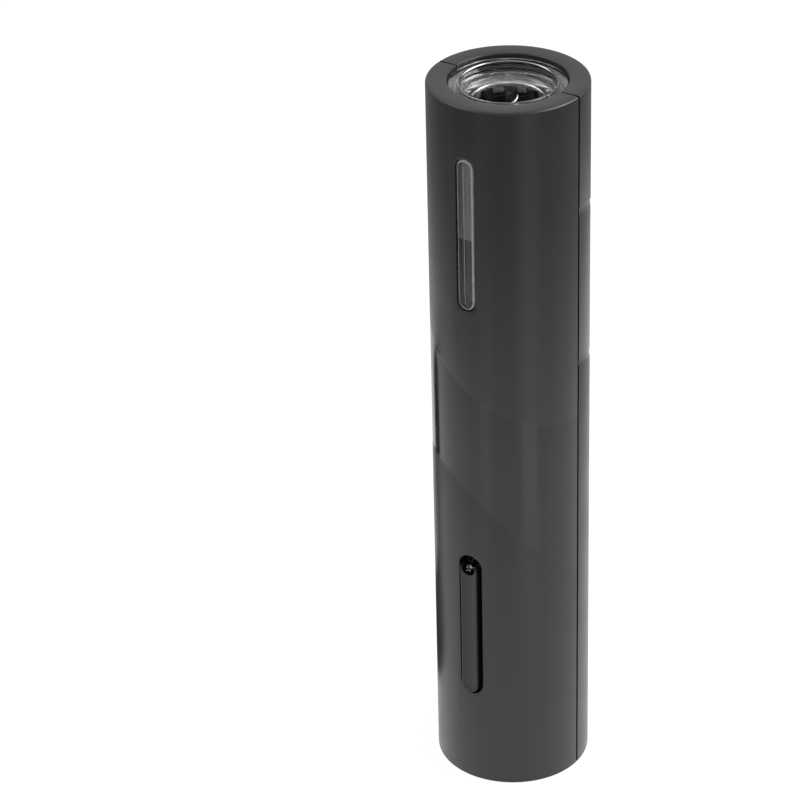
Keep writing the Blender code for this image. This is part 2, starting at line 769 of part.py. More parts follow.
def battery():
    cell_high = CELL_LOW + CELL_LENGTH
    tab = 0.3 * MM
    nib = 0.8 * MM
    turned(
        "battery_cell",
        [
            (0, cell_high), (0.35 * CELL_R, cell_high), (0.35 * CELL_R, cell_high - nib),
            (CELL_R - 0.8 * MM, cell_high - nib), (CELL_R, cell_high - 2 * nib), (CELL_R, CELL_LOW),
            (0, CELL_LOW),
        ],
        "cell", 24,
    )
    plate("battery_tab_pos", [circle(TAB_R)], cell_high + GAP, cell_high + GAP + tab, "nickel")
    plate("battery_tab_neg", [circle(TAB_R)], CELL_LOW - GAP - tab, CELL_LOW - GAP, "nickel")
    inner = CELL_R + GAP
    outer = inner + CRADLE_WALL
    low = CELL_LOW - 2 * GAP - tab
    high = cell_high + 2 * GAP + tab
    made = rod("battery_cradle", (0, 0, low - CRADLE_WALL), (0, 0, high + CRADLE_WALL), outer,
               "part", 24)
    change(made, rod("cradle_hollow", (0, 0, low), (0, 0, high), inner, steps=24))
    far = 2 * BODY_R
    change(made, box("cradle_half", (-far, GAP, -far), (far, far, far * 9)), "INTERSECT")
    # A fin carries the cradle on the rear shell.
    change(
        made,
        box("cradle_fin", (-1 * MM, outer - 0.5 * MM, low + 4 * MM),
            (1 * MM, inner_r - GAP, high - 4 * MM)),
        "UNION",
    )


def motor():
    bore = MOTOR_R - MOTOR_WALL
    nose = 1.6 * MM
    hole = SHAFT_R + GAP
    turned(
        "motor_can",
        [
            (hole, motor_high), (MOTOR_R - 0.8 * MM, motor_high), (MOTOR_R, motor_high - 0.8 * MM),
            (MOTOR_R, MOTOR_LOW), (bore, MOTOR_LOW), (bore, motor_high - nose),
            (hole, motor_high - nose),
        ],
        "motor",
    )
    cap_high = MOTOR_LOW - GAP
    turned(
        "motor_end_cap",
        [
            (hole, cap_high), (MOTOR_R - 0.6 * MM, cap_high), (MOTOR_R - 0.6 * MM, cap_high - END_CAP),
            (hole, cap_high - END_CAP),
        ],
        "part",
    )
    rod("motor_shaft", (0, 0, cap_high - END_CAP + GAP), (0, 0, stage_one_high), SHAFT_R, "steel",
        origin=(0, 0, motor_high))
    hands = {"left": -1, "right": 1}
    holes = [
        circle(MOTOR_SCREW_R + GAP, (hand * MOTOR_SCREW_ORBIT, 0)) for hand in hands.values()
    ]
    plate("motor_plate", [circle(gearbox_r, steps=ROUND_STEPS), circle(4.0 * MM), *holes],
          plate_low, plate_high, "steel")
    can = bpy.data.objects["motor_can"]
    for side, hand in hands.items():
        x = hand * MOTOR_SCREW_ORBIT
        change(can, rod(f"can_hole_{side}", (x, 0, motor_high - 3 * MM), (x, 0, cover_low),
                        MOTOR_SCREW_R + GAP))
        head_low = plate_high + GAP
        screw = rod(f"motor_screw_{side}", (x, 0, head_low), (x, 0, head_low + MOTOR_SCREW_HEAD),
                    1.9 * MOTOR_SCREW_R, "steel")
        change(screw, rod(f"motor_shank_{side}", (x, 0, motor_high - 1.5 * MM),
                          (x, 0, head_low + 0.4 * MM), MOTOR_SCREW_R), "UNION")


def gear_outline(teeth, inside=False):
    """A gear's outline. A ring gear's teeth point inwards and leave a gap at angle 0."""
    pitch_r = MODULE * teeth / 2
    hand = -1 if inside else 1
    tip, root = pitch_r + hand * TOOTH_TIP * MODULE, pitch_r - hand * TOOTH_ROOT * MODULE
    points = []
    for tooth in range(teeth):
        middle = 2 * pi * (tooth + (0.5 if inside else 0)) / teeth
        for radius, share in ((root, -0.31), (tip, -0.1), (tip, 0.1), (root, 0.31)):
            angle = middle + share * 2 * pi / teeth
            points.append((radius * cos(angle), radius * sin(angle)))
    return points


def planet_carrier(name, low, high, pin_low, origin):
    """A disc with three planet pins that hang from it."""
    made = plate(name, [circle(carrier_r, steps=ROUND_STEPS)], low, high, "steel", origin=origin)
    for key, angle in planet_angles.items():
        x, y = orbit * cos(angle), orbit * sin(angle)
        pin = rod(f"{name}_pin_{key}", (x, y, pin_low), (x, y, low + 1 * MM), PLANET_PIN_R)
        change(made, pin, "UNION")
    return made


def planets(stage, low, high):
    for key, angle in planet_angles.items():
        centre = Vector((orbit * cos(angle), orbit * sin(angle), 0))
        turn = Matrix.Rotation(angle, 3, "Z")
        outlines = [gear_outline(PLANET_TEETH), circle(PLANET_PIN_R + GAP)]
        moved = [
            [tuple((turn @ Vector((x, y, 0)) + centre).xy) for x, y in outline]
            for outline in outlines
        ]
        plate(f"planet_{stage}_{key}", moved, low, high, "gear",
              origin=(centre.x, centre.y, low))


def gearbox():
    plate(
        "ring_gear",
        [circle(gearbox_r, steps=ROUND_STEPS), gear_outline(RING_TEETH, inside=True)],
        plate_high + GAP, ring_high, "gear",
    )
    plate("sun_pinion", [gear_outline(SUN_TEETH), circle(SHAFT_R + GAP)], stage_one_low,
          stage_one_high, "steel", origin=(0, 0, stage_one_low))
    planets("one", stage_one_low, stage_one_high)
    one = planet_carrier("carrier_one", carrier_one_low, carrier_one_high, stage_one_low,
                         (0, 0, carrier_one_low))
    sun = plate("second_sun", [gear_outline(SUN_TEETH)], carrier_one_high - 1 * MM, stage_two_high)
    change(one, sun, "UNION")
    planets("two", stage_two_low, stage_two_high)
    two = planet_carrier("carrier_two", carrier_two_low, carrier_two_high, stage_two_low,
                         (0, 0, carrier_two_low))
    shaft_high = shoulder_high - 2 * MM
    shaft = rod("output_hex", (0, 0, carrier_two_high - 1 * MM), (0, 0, shaft_high), HEX_R,
                steps=6)
    change(two, shaft, "UNION")
    pin_z = cross_pin_height()
    change(two, rod("hex_pin_hole", (-MOTOR_R, 0, pin_z), (MOTOR_R, 0, pin_z),
                    CROSS_PIN_R + GAP))
    bush_outer = 9.0 * MM
    plate(
        "gearbox_cover",
        [circle(gearbox_r, steps=ROUND_STEPS), circle(bush_outer + GAP, steps=ROUND_STEPS)],
        cover_low, cover_high, "part",
    )
    bush_inner = HUB_R - 0.5 * MM + GAP
    turned(
        "output_bushing",
        [
            (bush_inner, bush_high), (bush_outer + 2 * MM, bush_high),
            (bush_outer + 2 * MM, cover_high + GAP), (bush_outer, cover_high + GAP),
            (bush_outer, cover_low), (bush_inner, cover_low),
        ],
        "bronze",
    )


def cross_pin_height():
    return (bush_high + shoulder_high) / 2 - 0.6 * MM


def output():
    """The hub on the gearbox's shaft, its pin, and the bearing that takes the cork's pull."""
    shank_hole = WORM_WIRE / 2 + GAP
    shank_low = HUB_HIGH - WORM_SHANK - 2 * GAP
    made = turned(
        "worm_hub",
        [
            (shank_hole, HUB_HIGH), (HUB_R - 1.5 * MM, HUB_HIGH), (HUB_R, HUB_HIGH - 1.5 * MM),
            (HUB_R, shoulder_high), (HUB_SHOULDER_R, shoulder_high),
            (HUB_SHOULDER_R, bush_high + GAP + 0.6 * MM), (HUB_R - 0.5 * MM, bush_high + 2 * GAP),
            (HUB_R - 0.5 * MM, cover_low), (0, cover_low), (0, shank_low), (shank_hole, shank_low),
        ],
        "steel",
    )
    socket = rod("hub_socket", (0, 0, cover_low - 1 * MM), (0, 0, shoulder_high - 2 * MM + GAP),
                 HEX_R + 0.4 * MM, steps=6)
    change(made, socket)
    pin_z = cross_pin_height()
    change(made, rod("hub_pin_hole", (-MOTOR_R, 0, pin_z), (MOTOR_R, 0, pin_z),
                     CROSS_PIN_R + GAP))
    half = HUB_SHOULDER_R - 0.5 * MM
    rod("hub_pin", (-half, 0, pin_z), (half, 0, pin_z), CROSS_PIN_R, "steel")
    turned(
        "thrust_bearing",
        [
            (HUB_R + GAP, BEARING_HIGH), (BEARING_R, BEARING_HIGH), (BEARING_R, bearing_low),
            (HUB_R + GAP, bearing_low),
        ],
        "steel",
    )


def worm():
    """A wire coil with a straight shank in the hub and a tapered tip on the coil's radius."""
    curve = bpy.data.curves.new("worm", "CURVE")
    curve.dimensions = "3D"
    curve.bevel_depth = WORM_WIRE / 2
    curve.bevel_resolution = 2
    curve.use_fill_caps = True
    per_turn = 14
    blend = 0.45  # of a turn, between the shank and the coil
    taper = 0.8  # of a turn, at the tip
    turns = (worm_tip - HUB_HIGH) / WORM_PITCH
    count = ceil(turns * per_turn)
    points = [(0, 0, HUB_HIGH - WORM_SHANK, 1.0), (0, 0, HUB_HIGH - 0.5 * MM, 1.0)]
    for index in range(1, count + 1):
        turn = turns * index / count
        angle = WORM_TIP_ANGLE - 2 * pi * (turns - turn)
        rise = min(turn / blend, 1.0)
        reach = WORM_COIL_R * rise * rise * (3 - 2 * rise)
        left = min((turns - turn) / taper, 1.0)
        points.append(
            (reach * cos(angle), reach * sin(angle), HUB_HIGH + turn * WORM_PITCH,
             0.12 + 0.88 * left**0.8)
        )
    spline = curve.splines.new("POLY")
    spline.points.add(len(points) - 1)
    for point, (x, y, z, size) in zip(spline.points, points):
        point.co = (x, y, z, 1)
        point.radius = size
    made = bpy.data.objects.new("worm", curve)
    parts.objects.link(made)
    curve.materials.append(FINISHES["worm"])
    settled(made, (0, 0, HUB_HIGH))


def shell_screws():
    for side, hand in (("left", -1), ("right", 1)):
        for level, z in screw_heights.items():
            x = hand * boss_x
            name = f"shell_screw_{side}_{level}"
            seat = screw_seat + GAP
            head = rod(name, (x, seat, z), (x, seat + 1.8 * MM, z), HEAD_R, "steel")
            shank = rod(name + "_shank", (x, -SCREW_BITE, z), (x, seat + 0.5 * MM, z), SCREW_R)
            change(head, shank, "UNION")


def leads():
    """The wires that the casing holds, each on its own route."""
    board_back = -BOARD_FRONT + BOARD_THICKNESS + GAP
    cap_low = MOTOR_LOW - GAP - END_CAP - GAP
    thick = 0.6 * MM
    for pole, hand, finish in (("pos", 1, "red"), ("neg", -1, "black")):
        start = (hand * 5 * MM, -6 * MM, cap_low - thick)
        end = (hand * 4 * MM, board_back + thick, BOARD_HIGH - 5 * MM)
        wire(
            "motor_lead_" + pole,
            [start, (hand * 5 * MM, -9 * MM, cap_low - 1.6 * MM),
             (hand * 4.4 * MM, board_back + 3 * MM, BOARD_HIGH + 1 * MM), end],
            thick, finish,
        )
    tab_y = -3 * MM
    turn_y = -CELL_R + 1.2 * MM
    pass_y = -CELL_R - 3.4 * MM
    top = CELL_LOW + CELL_LENGTH + 2 * GAP + 0.3 * MM + thick
    wire(
        "battery_lead_pos",
        [(0, tab_y, top), (0, turn_y, top + 0.2 * MM), (0, pass_y, top - 4 * MM),
         (0, board_back + thick, top - 12 * MM)],
        thick, "red",
    )
    bottom = CELL_LOW - 2 * GAP - 0.3 * MM - thick
    wire(
        "battery_lead_neg",
        [(0, tab_y, bottom), (0, turn_y, bottom - 0.2 * MM), (0, pass_y, bottom + 3 * MM),
         (0, board_back + thick, bottom + 10 * MM)],
        thick, "black",
    )
    x, y = lead_r * cos(lead_angle), lead_r * sin(lead_angle)
    wire(
        "led_lead",
        [(-7 * MM, board_back + thick, BOARD_HIGH - 8 * MM),
         (-8.6 * MM, board_back + 2 * thick, BOARD_HIGH + 1.5 * MM),
         (x, y, MOTOR_LOW + 1 * MM), (x, y, motor_high), (x, y, frame_foot_high + 6 * MM),
         (x, y, (frame_foot_high + led_board_low) / 2), (x, y, led_board_low - GAP)],
        thick, "black", 18,
    )


front_shell()
rear_shell()
window_lens()
bottle_collar()
chamber_frame()
rocker()
switches()
boards()
battery()
motor()
gearbox()
output()
worm()
shell_screws()
leads()
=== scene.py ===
import bmesh
import bpy
from math import ceil, cos, hypot, pi, radians, sin
from mathutils import Matrix, Vector
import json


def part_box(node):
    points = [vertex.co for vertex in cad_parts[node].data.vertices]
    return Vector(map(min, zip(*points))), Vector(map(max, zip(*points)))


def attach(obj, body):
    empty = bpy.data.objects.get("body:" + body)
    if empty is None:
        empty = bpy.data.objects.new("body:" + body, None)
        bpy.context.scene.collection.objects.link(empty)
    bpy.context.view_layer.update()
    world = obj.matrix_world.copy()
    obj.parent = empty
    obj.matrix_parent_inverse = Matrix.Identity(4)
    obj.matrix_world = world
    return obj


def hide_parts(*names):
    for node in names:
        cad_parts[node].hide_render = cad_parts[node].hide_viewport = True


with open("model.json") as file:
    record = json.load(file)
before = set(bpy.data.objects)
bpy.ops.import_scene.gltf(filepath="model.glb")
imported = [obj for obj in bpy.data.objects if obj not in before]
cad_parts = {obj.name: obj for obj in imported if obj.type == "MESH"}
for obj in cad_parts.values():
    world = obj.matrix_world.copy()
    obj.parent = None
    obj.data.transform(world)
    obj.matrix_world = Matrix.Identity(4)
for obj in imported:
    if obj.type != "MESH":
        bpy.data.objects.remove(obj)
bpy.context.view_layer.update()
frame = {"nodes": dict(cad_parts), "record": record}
nodes = frame["nodes"]
mm = 0.001
hair = 0.001 * mm  # closer than this counts as the same place

body = {
    "radius": 26.0 * mm,
    "height": 252.7 * mm,
    "wall": 2.3 * mm,
    "baseWall": 2.5 * mm,
    "rimThickness": 3.0 * mm,
    "mouthRadius": 19.24 * mm,
    "seamGap": 0.3 * mm,
}


def newFinish(name, values):
    # a principled material with its plain values set
    finish = bpy.data.materials.new(name)
    finish.use_nodes = True
    shader = finish.node_tree.nodes["Principled BSDF"]
    for socket, value in values.items():
        shader.inputs[socket].default_value = value
    return finish


def addNode(finish, kind, **values):
    node = finish.node_tree.nodes.new(kind)
    for key, value in values.items():
        setattr(node, key, value)
    return node


def objectPlace(finish, stretch=(1, 1, 1)):
    where = addNode(finish, "ShaderNodeTexCoord")
    mapping = addNode(finish, "ShaderNodeMapping")
    mapping.inputs["Scale"].default_value = stretch
    finish.node_tree.links.new(where.outputs["Object"], mapping.inputs["Vector"])
    return mapping.outputs["Vector"]


def noise(finish, place, scale, detail=2.0):
    grain = addNode(finish, "ShaderNodeTexNoise")
    grain.inputs["Scale"].default_value = scale
    grain.inputs["Detail"].default_value = detail
    finish.node_tree.links.new(place, grain.inputs["Vector"])
    return grain.outputs["Fac"]


def spread(finish, value, low, high, fromLow=0.3, fromHigh=0.7):
    band = addNode(finish, "ShaderNodeMapRange")
    for socket, number in (("From Min", fromLow), ("From Max", fromHigh),
                           ("To Min", low), ("To Max", high)):
        band.inputs[socket].default_value = number
    finish.node_tree.links.new(value, band.inputs["Value"])
    return band.outputs["Result"]


def sums(finish, operation, first, second=None):
    step = addNode(finish, "ShaderNodeMath", operation=operation)
    finish.node_tree.links.new(first, step.inputs[0])
    if isinstance(second, float):
        step.inputs[1].default_value = second
    elif second is not None:
        finish.node_tree.links.new(second, step.inputs[1])
    return step.outputs[0]


# the camera stands in front at this distance and height, then goes round by its azimuth
view = {
    "lens": 151.6,
    "sensor": 36,
    "nearest": 50 * mm,
    "distance": 961.2 * mm,
    "height": 692.4 * mm,
    "azimuth": radians(32.5),  # to the right of the window
    "pitch": radians(30.0),
    "yaw": radians(-2.17),
    "roll": radians(1.53),
}


def placeCamera():
    pitch, yaw, roll = view["pitch"], view["yaw"], view["roll"]
    ahead = Vector((sin(yaw) * cos(pitch), cos(yaw) * cos(pitch), -sin(pitch)))
    right = Vector((cos(yaw), -sin(yaw), 0))
    down = ahead.cross(right)
    right, down = cos(roll) * right + sin(roll) * down, cos(roll) * down - sin(roll) * right
    turned = Matrix((right, -down, -ahead)).transposed().to_4x4()
    turned.translation = (0, -view["distance"], view["height"])
    bpy.ops.object.camera_add()
    camera = bpy.context.active_object
    camera.name = "camera"
    camera.matrix_world = Matrix.Rotation(view["azimuth"], 4, "Z") @ turned
    camera.data.lens = view["lens"]
    camera.data.sensor_width = view["sensor"]
    camera.data.clip_start = view["nearest"]
    bpy.context.scene.camera = camera


stage = {
    "floorSize": 9.0,
    "sky": 0.75,
    "floorColour": 0.15,
    "floorGlow": 0.9,
    # what the object sees of the floor fades with distance, as on a lit table
    "nearGlow": (230 * mm, 0.92),
    "farGlow": (480 * mm, 0.2),
    # two pools of light across it: azimuth, half width, glow, both out to full strength
    "pools": ((radians(-2.5), radians(7), 0.26), (radians(58), radians(11), 0.46)),
    "poolEdge": radians(7),
    "poolStart": (60 * mm, 260 * mm),
}
softBoxes = [
    # name, azimuth, elevation, distance, size, brightness
    ("softLeft", radians(-65), radians(58), 0.9, 0.45, 2.0),
    ("softRight", radians(118), radians(48), 0.9, 0.6, 6.0),
]
flags = [
    # dark round flags beside the object: place, radius, height
    ("flagTall", (-148 * mm, 15 * mm), 23 * mm, 74 * mm),
    ("flagLow", (-80 * mm, 9 * mm), 26 * mm, 19 * mm),
]


def buildStage():
    world = bpy.data.worlds.new("softRoom")
    world.use_nodes = True
    world.node_tree.nodes["Background"].inputs["Color"].default_value = (1, 1, 1, 1)
    world.node_tree.nodes["Background"].inputs["Strength"].default_value = stage["sky"]
    bpy.context.scene.world = world
    bpy.context.scene.view_settings.view_transform = "Standard"
    bpy.ops.mesh.primitive_plane_add(size=stage["floorSize"])
    floor = bpy.context.active_object
    floor.name = "floor"
    paper = bpy.data.materials.new("palePaper")
    paper.use_nodes = True
    shader = paper.node_tree.nodes["Principled BSDF"]
    pale = stage["floorColour"]
    shader.inputs["Base Color"].default_value = (pale, pale, pale, 1)
    shader.inputs["Roughness"].default_value = 1.0
    shader.inputs["Specular IOR Level"].default_value = 0.0
    shader.inputs["Emission Color"].default_value = (1, 1, 1, 1)
    links = paper.node_tree.links
    place = objectPlace(paper)
    away = addNode(paper, "ShaderNodeVectorMath", operation="LENGTH")
    links.new(place, away.inputs[0])
    (near, bright), (far, dim) = stage["nearGlow"], stage["farGlow"]
    total = spread(paper, away.outputs["Value"], bright, dim, near, far)
    start = spread(paper, away.outputs["Value"], 0, 1, *stage["poolStart"])
    turn = addNode(paper, "ShaderNodeTexGradient", gradient_type="RADIAL")
    links.new(place, turn.inputs["Vector"])
    for azimuth, half, strength in stage["pools"]:
        # the radial gradient runs from 0 to 1 once round, with the front at a quarter
        aside = sums(paper, "SUBTRACT", turn.outputs["Fac"], azimuth / (2 * pi) + 0.25)
        aside = sums(paper, "ABSOLUTE", aside)
        soft = spread(paper, aside, strength, 0, (half - stage["poolEdge"] / 2) / (2 * pi),
                      (half + stage["poolEdge"] / 2) / (2 * pi))
        total = sums(paper, "ADD", total, sums(paper, "MULTIPLY", soft, start))
    glow = addNode(paper, "ShaderNodeMix")
    glow.inputs["B"].default_value = stage["floorGlow"]
    ray = addNode(paper, "ShaderNodeLightPath")
    links.new(total, glow.inputs["A"])
    links.new(ray.outputs["Is Camera Ray"], glow.inputs["Factor"])
    links.new(glow.outputs["Result"], shader.inputs["Emission Strength"])
    floor.data.materials.append(paper)


def addLights():
    for name, azimuth, elevation, distance, size, brightness in softBoxes:
        bpy.ops.object.light_add(type="AREA")
        light = bpy.context.active_object
        light.name = name
        light.data.size = size
        light.data.energy = brightness * pi * size * size
        towards = Vector((sin(azimuth) * cos(elevation), -cos(azimuth) * cos(elevation),
                          sin(elevation)))
        light.matrix_world = Matrix.Translation(towards * distance) @ (
            towards.to_track_quat("Z", "Y").to_matrix().to_4x4()
        )
        light.visible_camera = False


def addFlags():
    dark = newFinish("flagBlack", {"Base Color": (0.01, 0.01, 0.01, 1), "Roughness": 0.8})
    for name, (x, y), radius, height in flags:
        bpy.ops.mesh.primitive_cylinder_add(vertices=48, radius=radius, depth=height,
                                            location=(x, y, height / 2))
        flag = bpy.context.active_object
        flag.name = name
        flag.visible_camera = flag.visible_shadow = flag.visible_diffuse = False
        flag.visible_transmission = False
        flag.data.materials.append(dark)


placeCamera()
buildStage()
addLights()
addFlags()
print("camera and stage set")


def shaderOf(finish):
    return finish.node_tree.nodes["Principled BSDF"]


def roughen(finish, value):
    finish.node_tree.links.new(value, shaderOf(finish).inputs["Roughness"])


def emboss(finish, value, height):
    bump = addNode(finish, "ShaderNodeBump")
    bump.inputs["Distance"].default_value = height
    bump.inputs["Strength"].default_value = 1.0
    finish.node_tree.links.new(value, bump.inputs["Height"])
    finish.node_tree.links.new(bump.outputs["Normal"], shaderOf(finish).inputs["Normal"])


def tint(finish, value, low, high):
    blend = addNode(finish, "ShaderNodeMix", data_type="RGBA")
    blend.inputs["A"].default_value = (*low, 1)
    blend.inputs["B"].default_value = (*high, 1)
    finish.node_tree.links.new(value, blend.inputs["Factor"])
    finish.node_tree.links.new(blend.outputs["Result"], shaderOf(finish).inputs["Base Color"])


grain = {
    # how fine each pattern is, where higher is finer
    "flow": 38.0,
    "patches": 90.0,
    "clearPatches": 160.0,
    "clearRipple": 420.0,
    "streaks": 220.0,
    "tracks": 300.0,
    "maskPatches": 900.0,
    # how deep each relief is
    "rippleDepth": 0.02 * mm,
    "streakDepth": 0.06 * mm,
    "trackDepth": 0.03 * mm,
}


def mouldedPlastic(name, low, high, roughness, grainSize, grainDepth, values=None):
    # plastic with a fine moulded grain, faint flow marks and uneven gloss
    finish = newFinish(name, {"IOR": 1.5, **(values or {})})
    place = objectPlace(finish)
    flow = noise(finish, objectPlace(finish, (1, 1, 0.3)), grain["flow"], 3.0)
    tint(finish, spread(finish, flow, 0, 1), low, high)
    patches = noise(finish, place, grain["patches"], 4.0)
    roughen(finish, spread(finish, patches, roughness[0], roughness[1]))
    emboss(finish, noise(finish, place, 1 / grainSize, 1.0), grainDepth)
    return finish


def turnedSteel(name, colour, roughness, stretch, scale, depth, grooves=0.04):
    # fine tool marks along one direction of the piece
    finish = newFinish(name, {"Base Color": (*colour, 1), "Metallic": 1.0})
    marks = noise(finish, objectPlace(finish, stretch), scale, 3.0)
    roughen(finish, spread(finish, marks, roughness, roughness + grooves))
    emboss(finish, marks, depth)
    return finish


def clearMoulding():
    finish = newFinish("clearMoulding", {
        "Base Color": (0.97, 0.98, 0.985, 1),
        "Transmission Weight": 1.0,
        "IOR": 1.5,
    })
    place = objectPlace(finish)
    patches = noise(finish, place, grain["clearPatches"], 3.0)
    roughen(finish, spread(finish, patches, 0.015, 0.06))
    emboss(finish, noise(finish, place, grain["clearRipple"], 2.0), grain["rippleDepth"])
    return finish


def frostedPaintedGlow(name, shade, clearness, roughness, stretch):
    # the same plastic made paler and less clear, which paints in light carried through the clear
    # parts; its roughness and relief run in fine streaks
    finish = newFinish(name, {
        "Base Color": (shade, shade, shade, 1),
        "Transmission Weight": clearness,
        "IOR": 1.5,
    })
    streaks = noise(finish, objectPlace(finish, stretch), grain["streaks"], 4.0)
    roughen(finish, spread(finish, streaks, *roughness))
    emboss(finish, streaks, grain["streakDepth"])
    return finish


def solderMask(name, low, high):
    # tracks stand a little proud of the board under the mask
    finish = newFinish(name, {"IOR": 1.5})
    tracks = addNode(finish, "ShaderNodeTexBrick")
    tracks.inputs["Scale"].default_value = grain["tracks"]
    tracks.inputs["Mortar Size"].default_value = 0.06
    finish.node_tree.links.new(objectPlace(finish), tracks.inputs["Vector"])
    tint(finish, tracks.outputs["Fac"], low, high)
    patches = noise(finish, objectPlace(finish), grain["maskPatches"])
    roughen(finish, spread(finish, patches, 0.3, 0.42))
    emboss(finish, tracks.outputs["Fac"], grain["trackDepth"])
    return finish


casingSatin = mouldedPlastic("casingSatin", (0.008, 0.008, 0.008), (0.011, 0.011, 0.011),
                             (0.3, 0.36), 0.16 * mm, 0.004 * mm)
casingPolished = mouldedPlastic("casingPolished", (0.008, 0.008, 0.008), (0.01, 0.01, 0.01),
                                (0.14, 0.17), 6.0 * mm, 0.01 * mm)
# the back of the sash is a little duller, so that it doesn't stand out beside the seam
casingSheen = mouldedPlastic("casingSheen", (0.008, 0.008, 0.008), (0.01, 0.01, 0.01),
                             (0.22, 0.26), 6.0 * mm, 0.01 * mm)
finishes = {
    "casing": casingSatin,
    "button": mouldedPlastic("buttonBlack", (0.008, 0.008, 0.009), (0.01, 0.01, 0.011),
                             (0.16, 0.22), 0.3 * mm, 0.002 * mm,
                             {"Specular IOR Level": 0.4}),
    "clear": clearMoulding(),
    "frame": mouldedPlastic("frameBlack", (0.012, 0.012, 0.012), (0.02, 0.02, 0.02),
                            (0.3, 0.4), 0.25 * mm, 0.006 * mm),
    "steel": turnedSteel("turnedSteel", (0.62, 0.62, 0.63), 0.24, (1, 1, 14), 900.0, 0.002 * mm),
    "worm": turnedSteel("wormSteel", (0.56, 0.56, 0.57), 0.12, (1, 1, 3), 600.0, 0.002 * mm),
    "motor": turnedSteel("motorCan", (0.58, 0.58, 0.56), 0.3, (12, 12, 1), 500.0, 0.002 * mm),
    "board": solderMask("solderMask", (0.01, 0.1, 0.045), (0.02, 0.16, 0.07)),
    "switch": mouldedPlastic("switchBlack", (0.03, 0.03, 0.03), (0.05, 0.05, 0.05),
                             (0.4, 0.5), 0.2 * mm, 0.005 * mm),
    "led": mouldedPlastic("lightResin", (0.8, 0.8, 0.7), (0.9, 0.9, 0.82), (0.1, 0.2), 0.4 * mm,
                          0.002 * mm, {"Subsurface Weight": 0.3}),
    "cell": mouldedPlastic("cellWrap", (0.02, 0.09, 0.22), (0.03, 0.12, 0.28), (0.25, 0.4),
                           1.2 * mm, 0.02 * mm),
    "nickel": turnedSteel("nickelPlate", (0.66, 0.62, 0.55), 0.2, (1, 1, 1), 700.0, 0.002 * mm),
    "bronze": turnedSteel("sinteredBronze", (0.5, 0.32, 0.15), 0.42, (1, 1, 1), 2500.0,
                          0.01 * mm, 0.15),
    "gear": mouldedPlastic("gearNylon", (0.7, 0.68, 0.6), (0.78, 0.76, 0.7), (0.35, 0.5),
                           0.4 * mm, 0.004 * mm, {"Subsurface Weight": 0.2}),
    "lead_red": mouldedPlastic("leadRed", (0.4, 0.015, 0.015), (0.5, 0.025, 0.02), (0.4, 0.55),
                               0.5 * mm, 0.01 * mm),
    "lead_black": mouldedPlastic("leadBlack", (0.014, 0.014, 0.016), (0.022, 0.022, 0.024),
                                 (0.4, 0.55), 0.5 * mm, 0.01 * mm),
}
# a paler, less clear finish on the collar's sleeve and cup wall: painted light, standing in for
# light carried through the clear plastic
collarPaintedGlow = frostedPaintedGlow("collarPaintedGlow", 0.8, 0.72, (0.05, 0.35), (1, 1, 6))
# a paler, less clear finish for the window pane: painted light, standing in for the lit sleeve
# behind the pane and a highlight on its bevelled border
panePaintedGlow = frostedPaintedGlow("panePaintedGlow", 0.5, 0.45, (0.12, 0.4), (3, 3, 0.3))
finishes["light_board"] = solderMask("paleMask", (0.34, 0.34, 0.33), (0.4, 0.4, 0.39))
for part in frame["record"]["subparts"]:
    surface = nodes[part["node"]].data.materials
    surface.clear()
    surface.append(finishes[part["material_slot"]])
print("finishes made")


def letGo():
    # back to object mode with nothing selected
    if bpy.context.mode != "OBJECT":
        bpy.ops.object.mode_set(mode="OBJECT")
    bpy.ops.object.select_all(action="DESELECT")


def hold(piece):
    letGo()
    piece.select_set(True)
    bpy.context.view_layer.objects.active = piece


def called(name):
    piece = bpy.context.active_object
    piece.name = piece.data.name = name
    bpy.ops.object.transform_apply(location=True, rotation=True, scale=True)
    return piece


def openUp(piece):
    hold(piece)
    bpy.ops.object.mode_set(mode="EDIT")
    bpy.ops.mesh.select_mode(type="VERT")
    bpy.ops.mesh.select_all(action="DESELECT")


def pick(piece, kind, test):
    # selects the verts, edges or faces whose corners all pass the test
    bpy.ops.mesh.select_mode(type={"verts": "VERT", "edges": "EDGE", "faces": "FACE"}[kind])
    bpy.ops.mesh.select_all(action="DESELECT")
    inside = bmesh.from_edit_mesh(piece.data)
    for item in getattr(inside, kind):
        corners = [item.co] if kind == "verts" else [corner.co for corner in item.verts]
        if all(test(corner) for corner in corners):
            item.select_set(True)
    inside.select_flush_mode()
    bmesh.update_edit_mesh(piece.data)


def cleanUp(piece, apart=0.002 * mm):
    openUp(piece)
    bpy.ops.mesh.select_all(action="SELECT")
    bpy.ops.mesh.remove_doubles(threshold=apart)
    bpy.ops.mesh.normals_make_consistent(inside=False)
    letGo()


def applyAll(piece):
    hold(piece)
    for modifier in list(piece.modifiers):
        bpy.ops.object.modifier_apply(modifier=modifier.name)


def change(piece, other, operation="DIFFERENCE"):
    step = piece.modifiers.new("change", "BOOLEAN")
    step.object = other
    step.operation = operation
    step.solver = "EXACT"
    applyAll(piece)
    bpy.data.objects.remove(other)
    return piece


def bevelPicked(width, segments):
    bpy.ops.mesh.bevel(offset=width, offset_type="OFFSET", segments=segments, profile=0.5,
                       affect="EDGES", clamp_overlap=True, loop_slide=True)


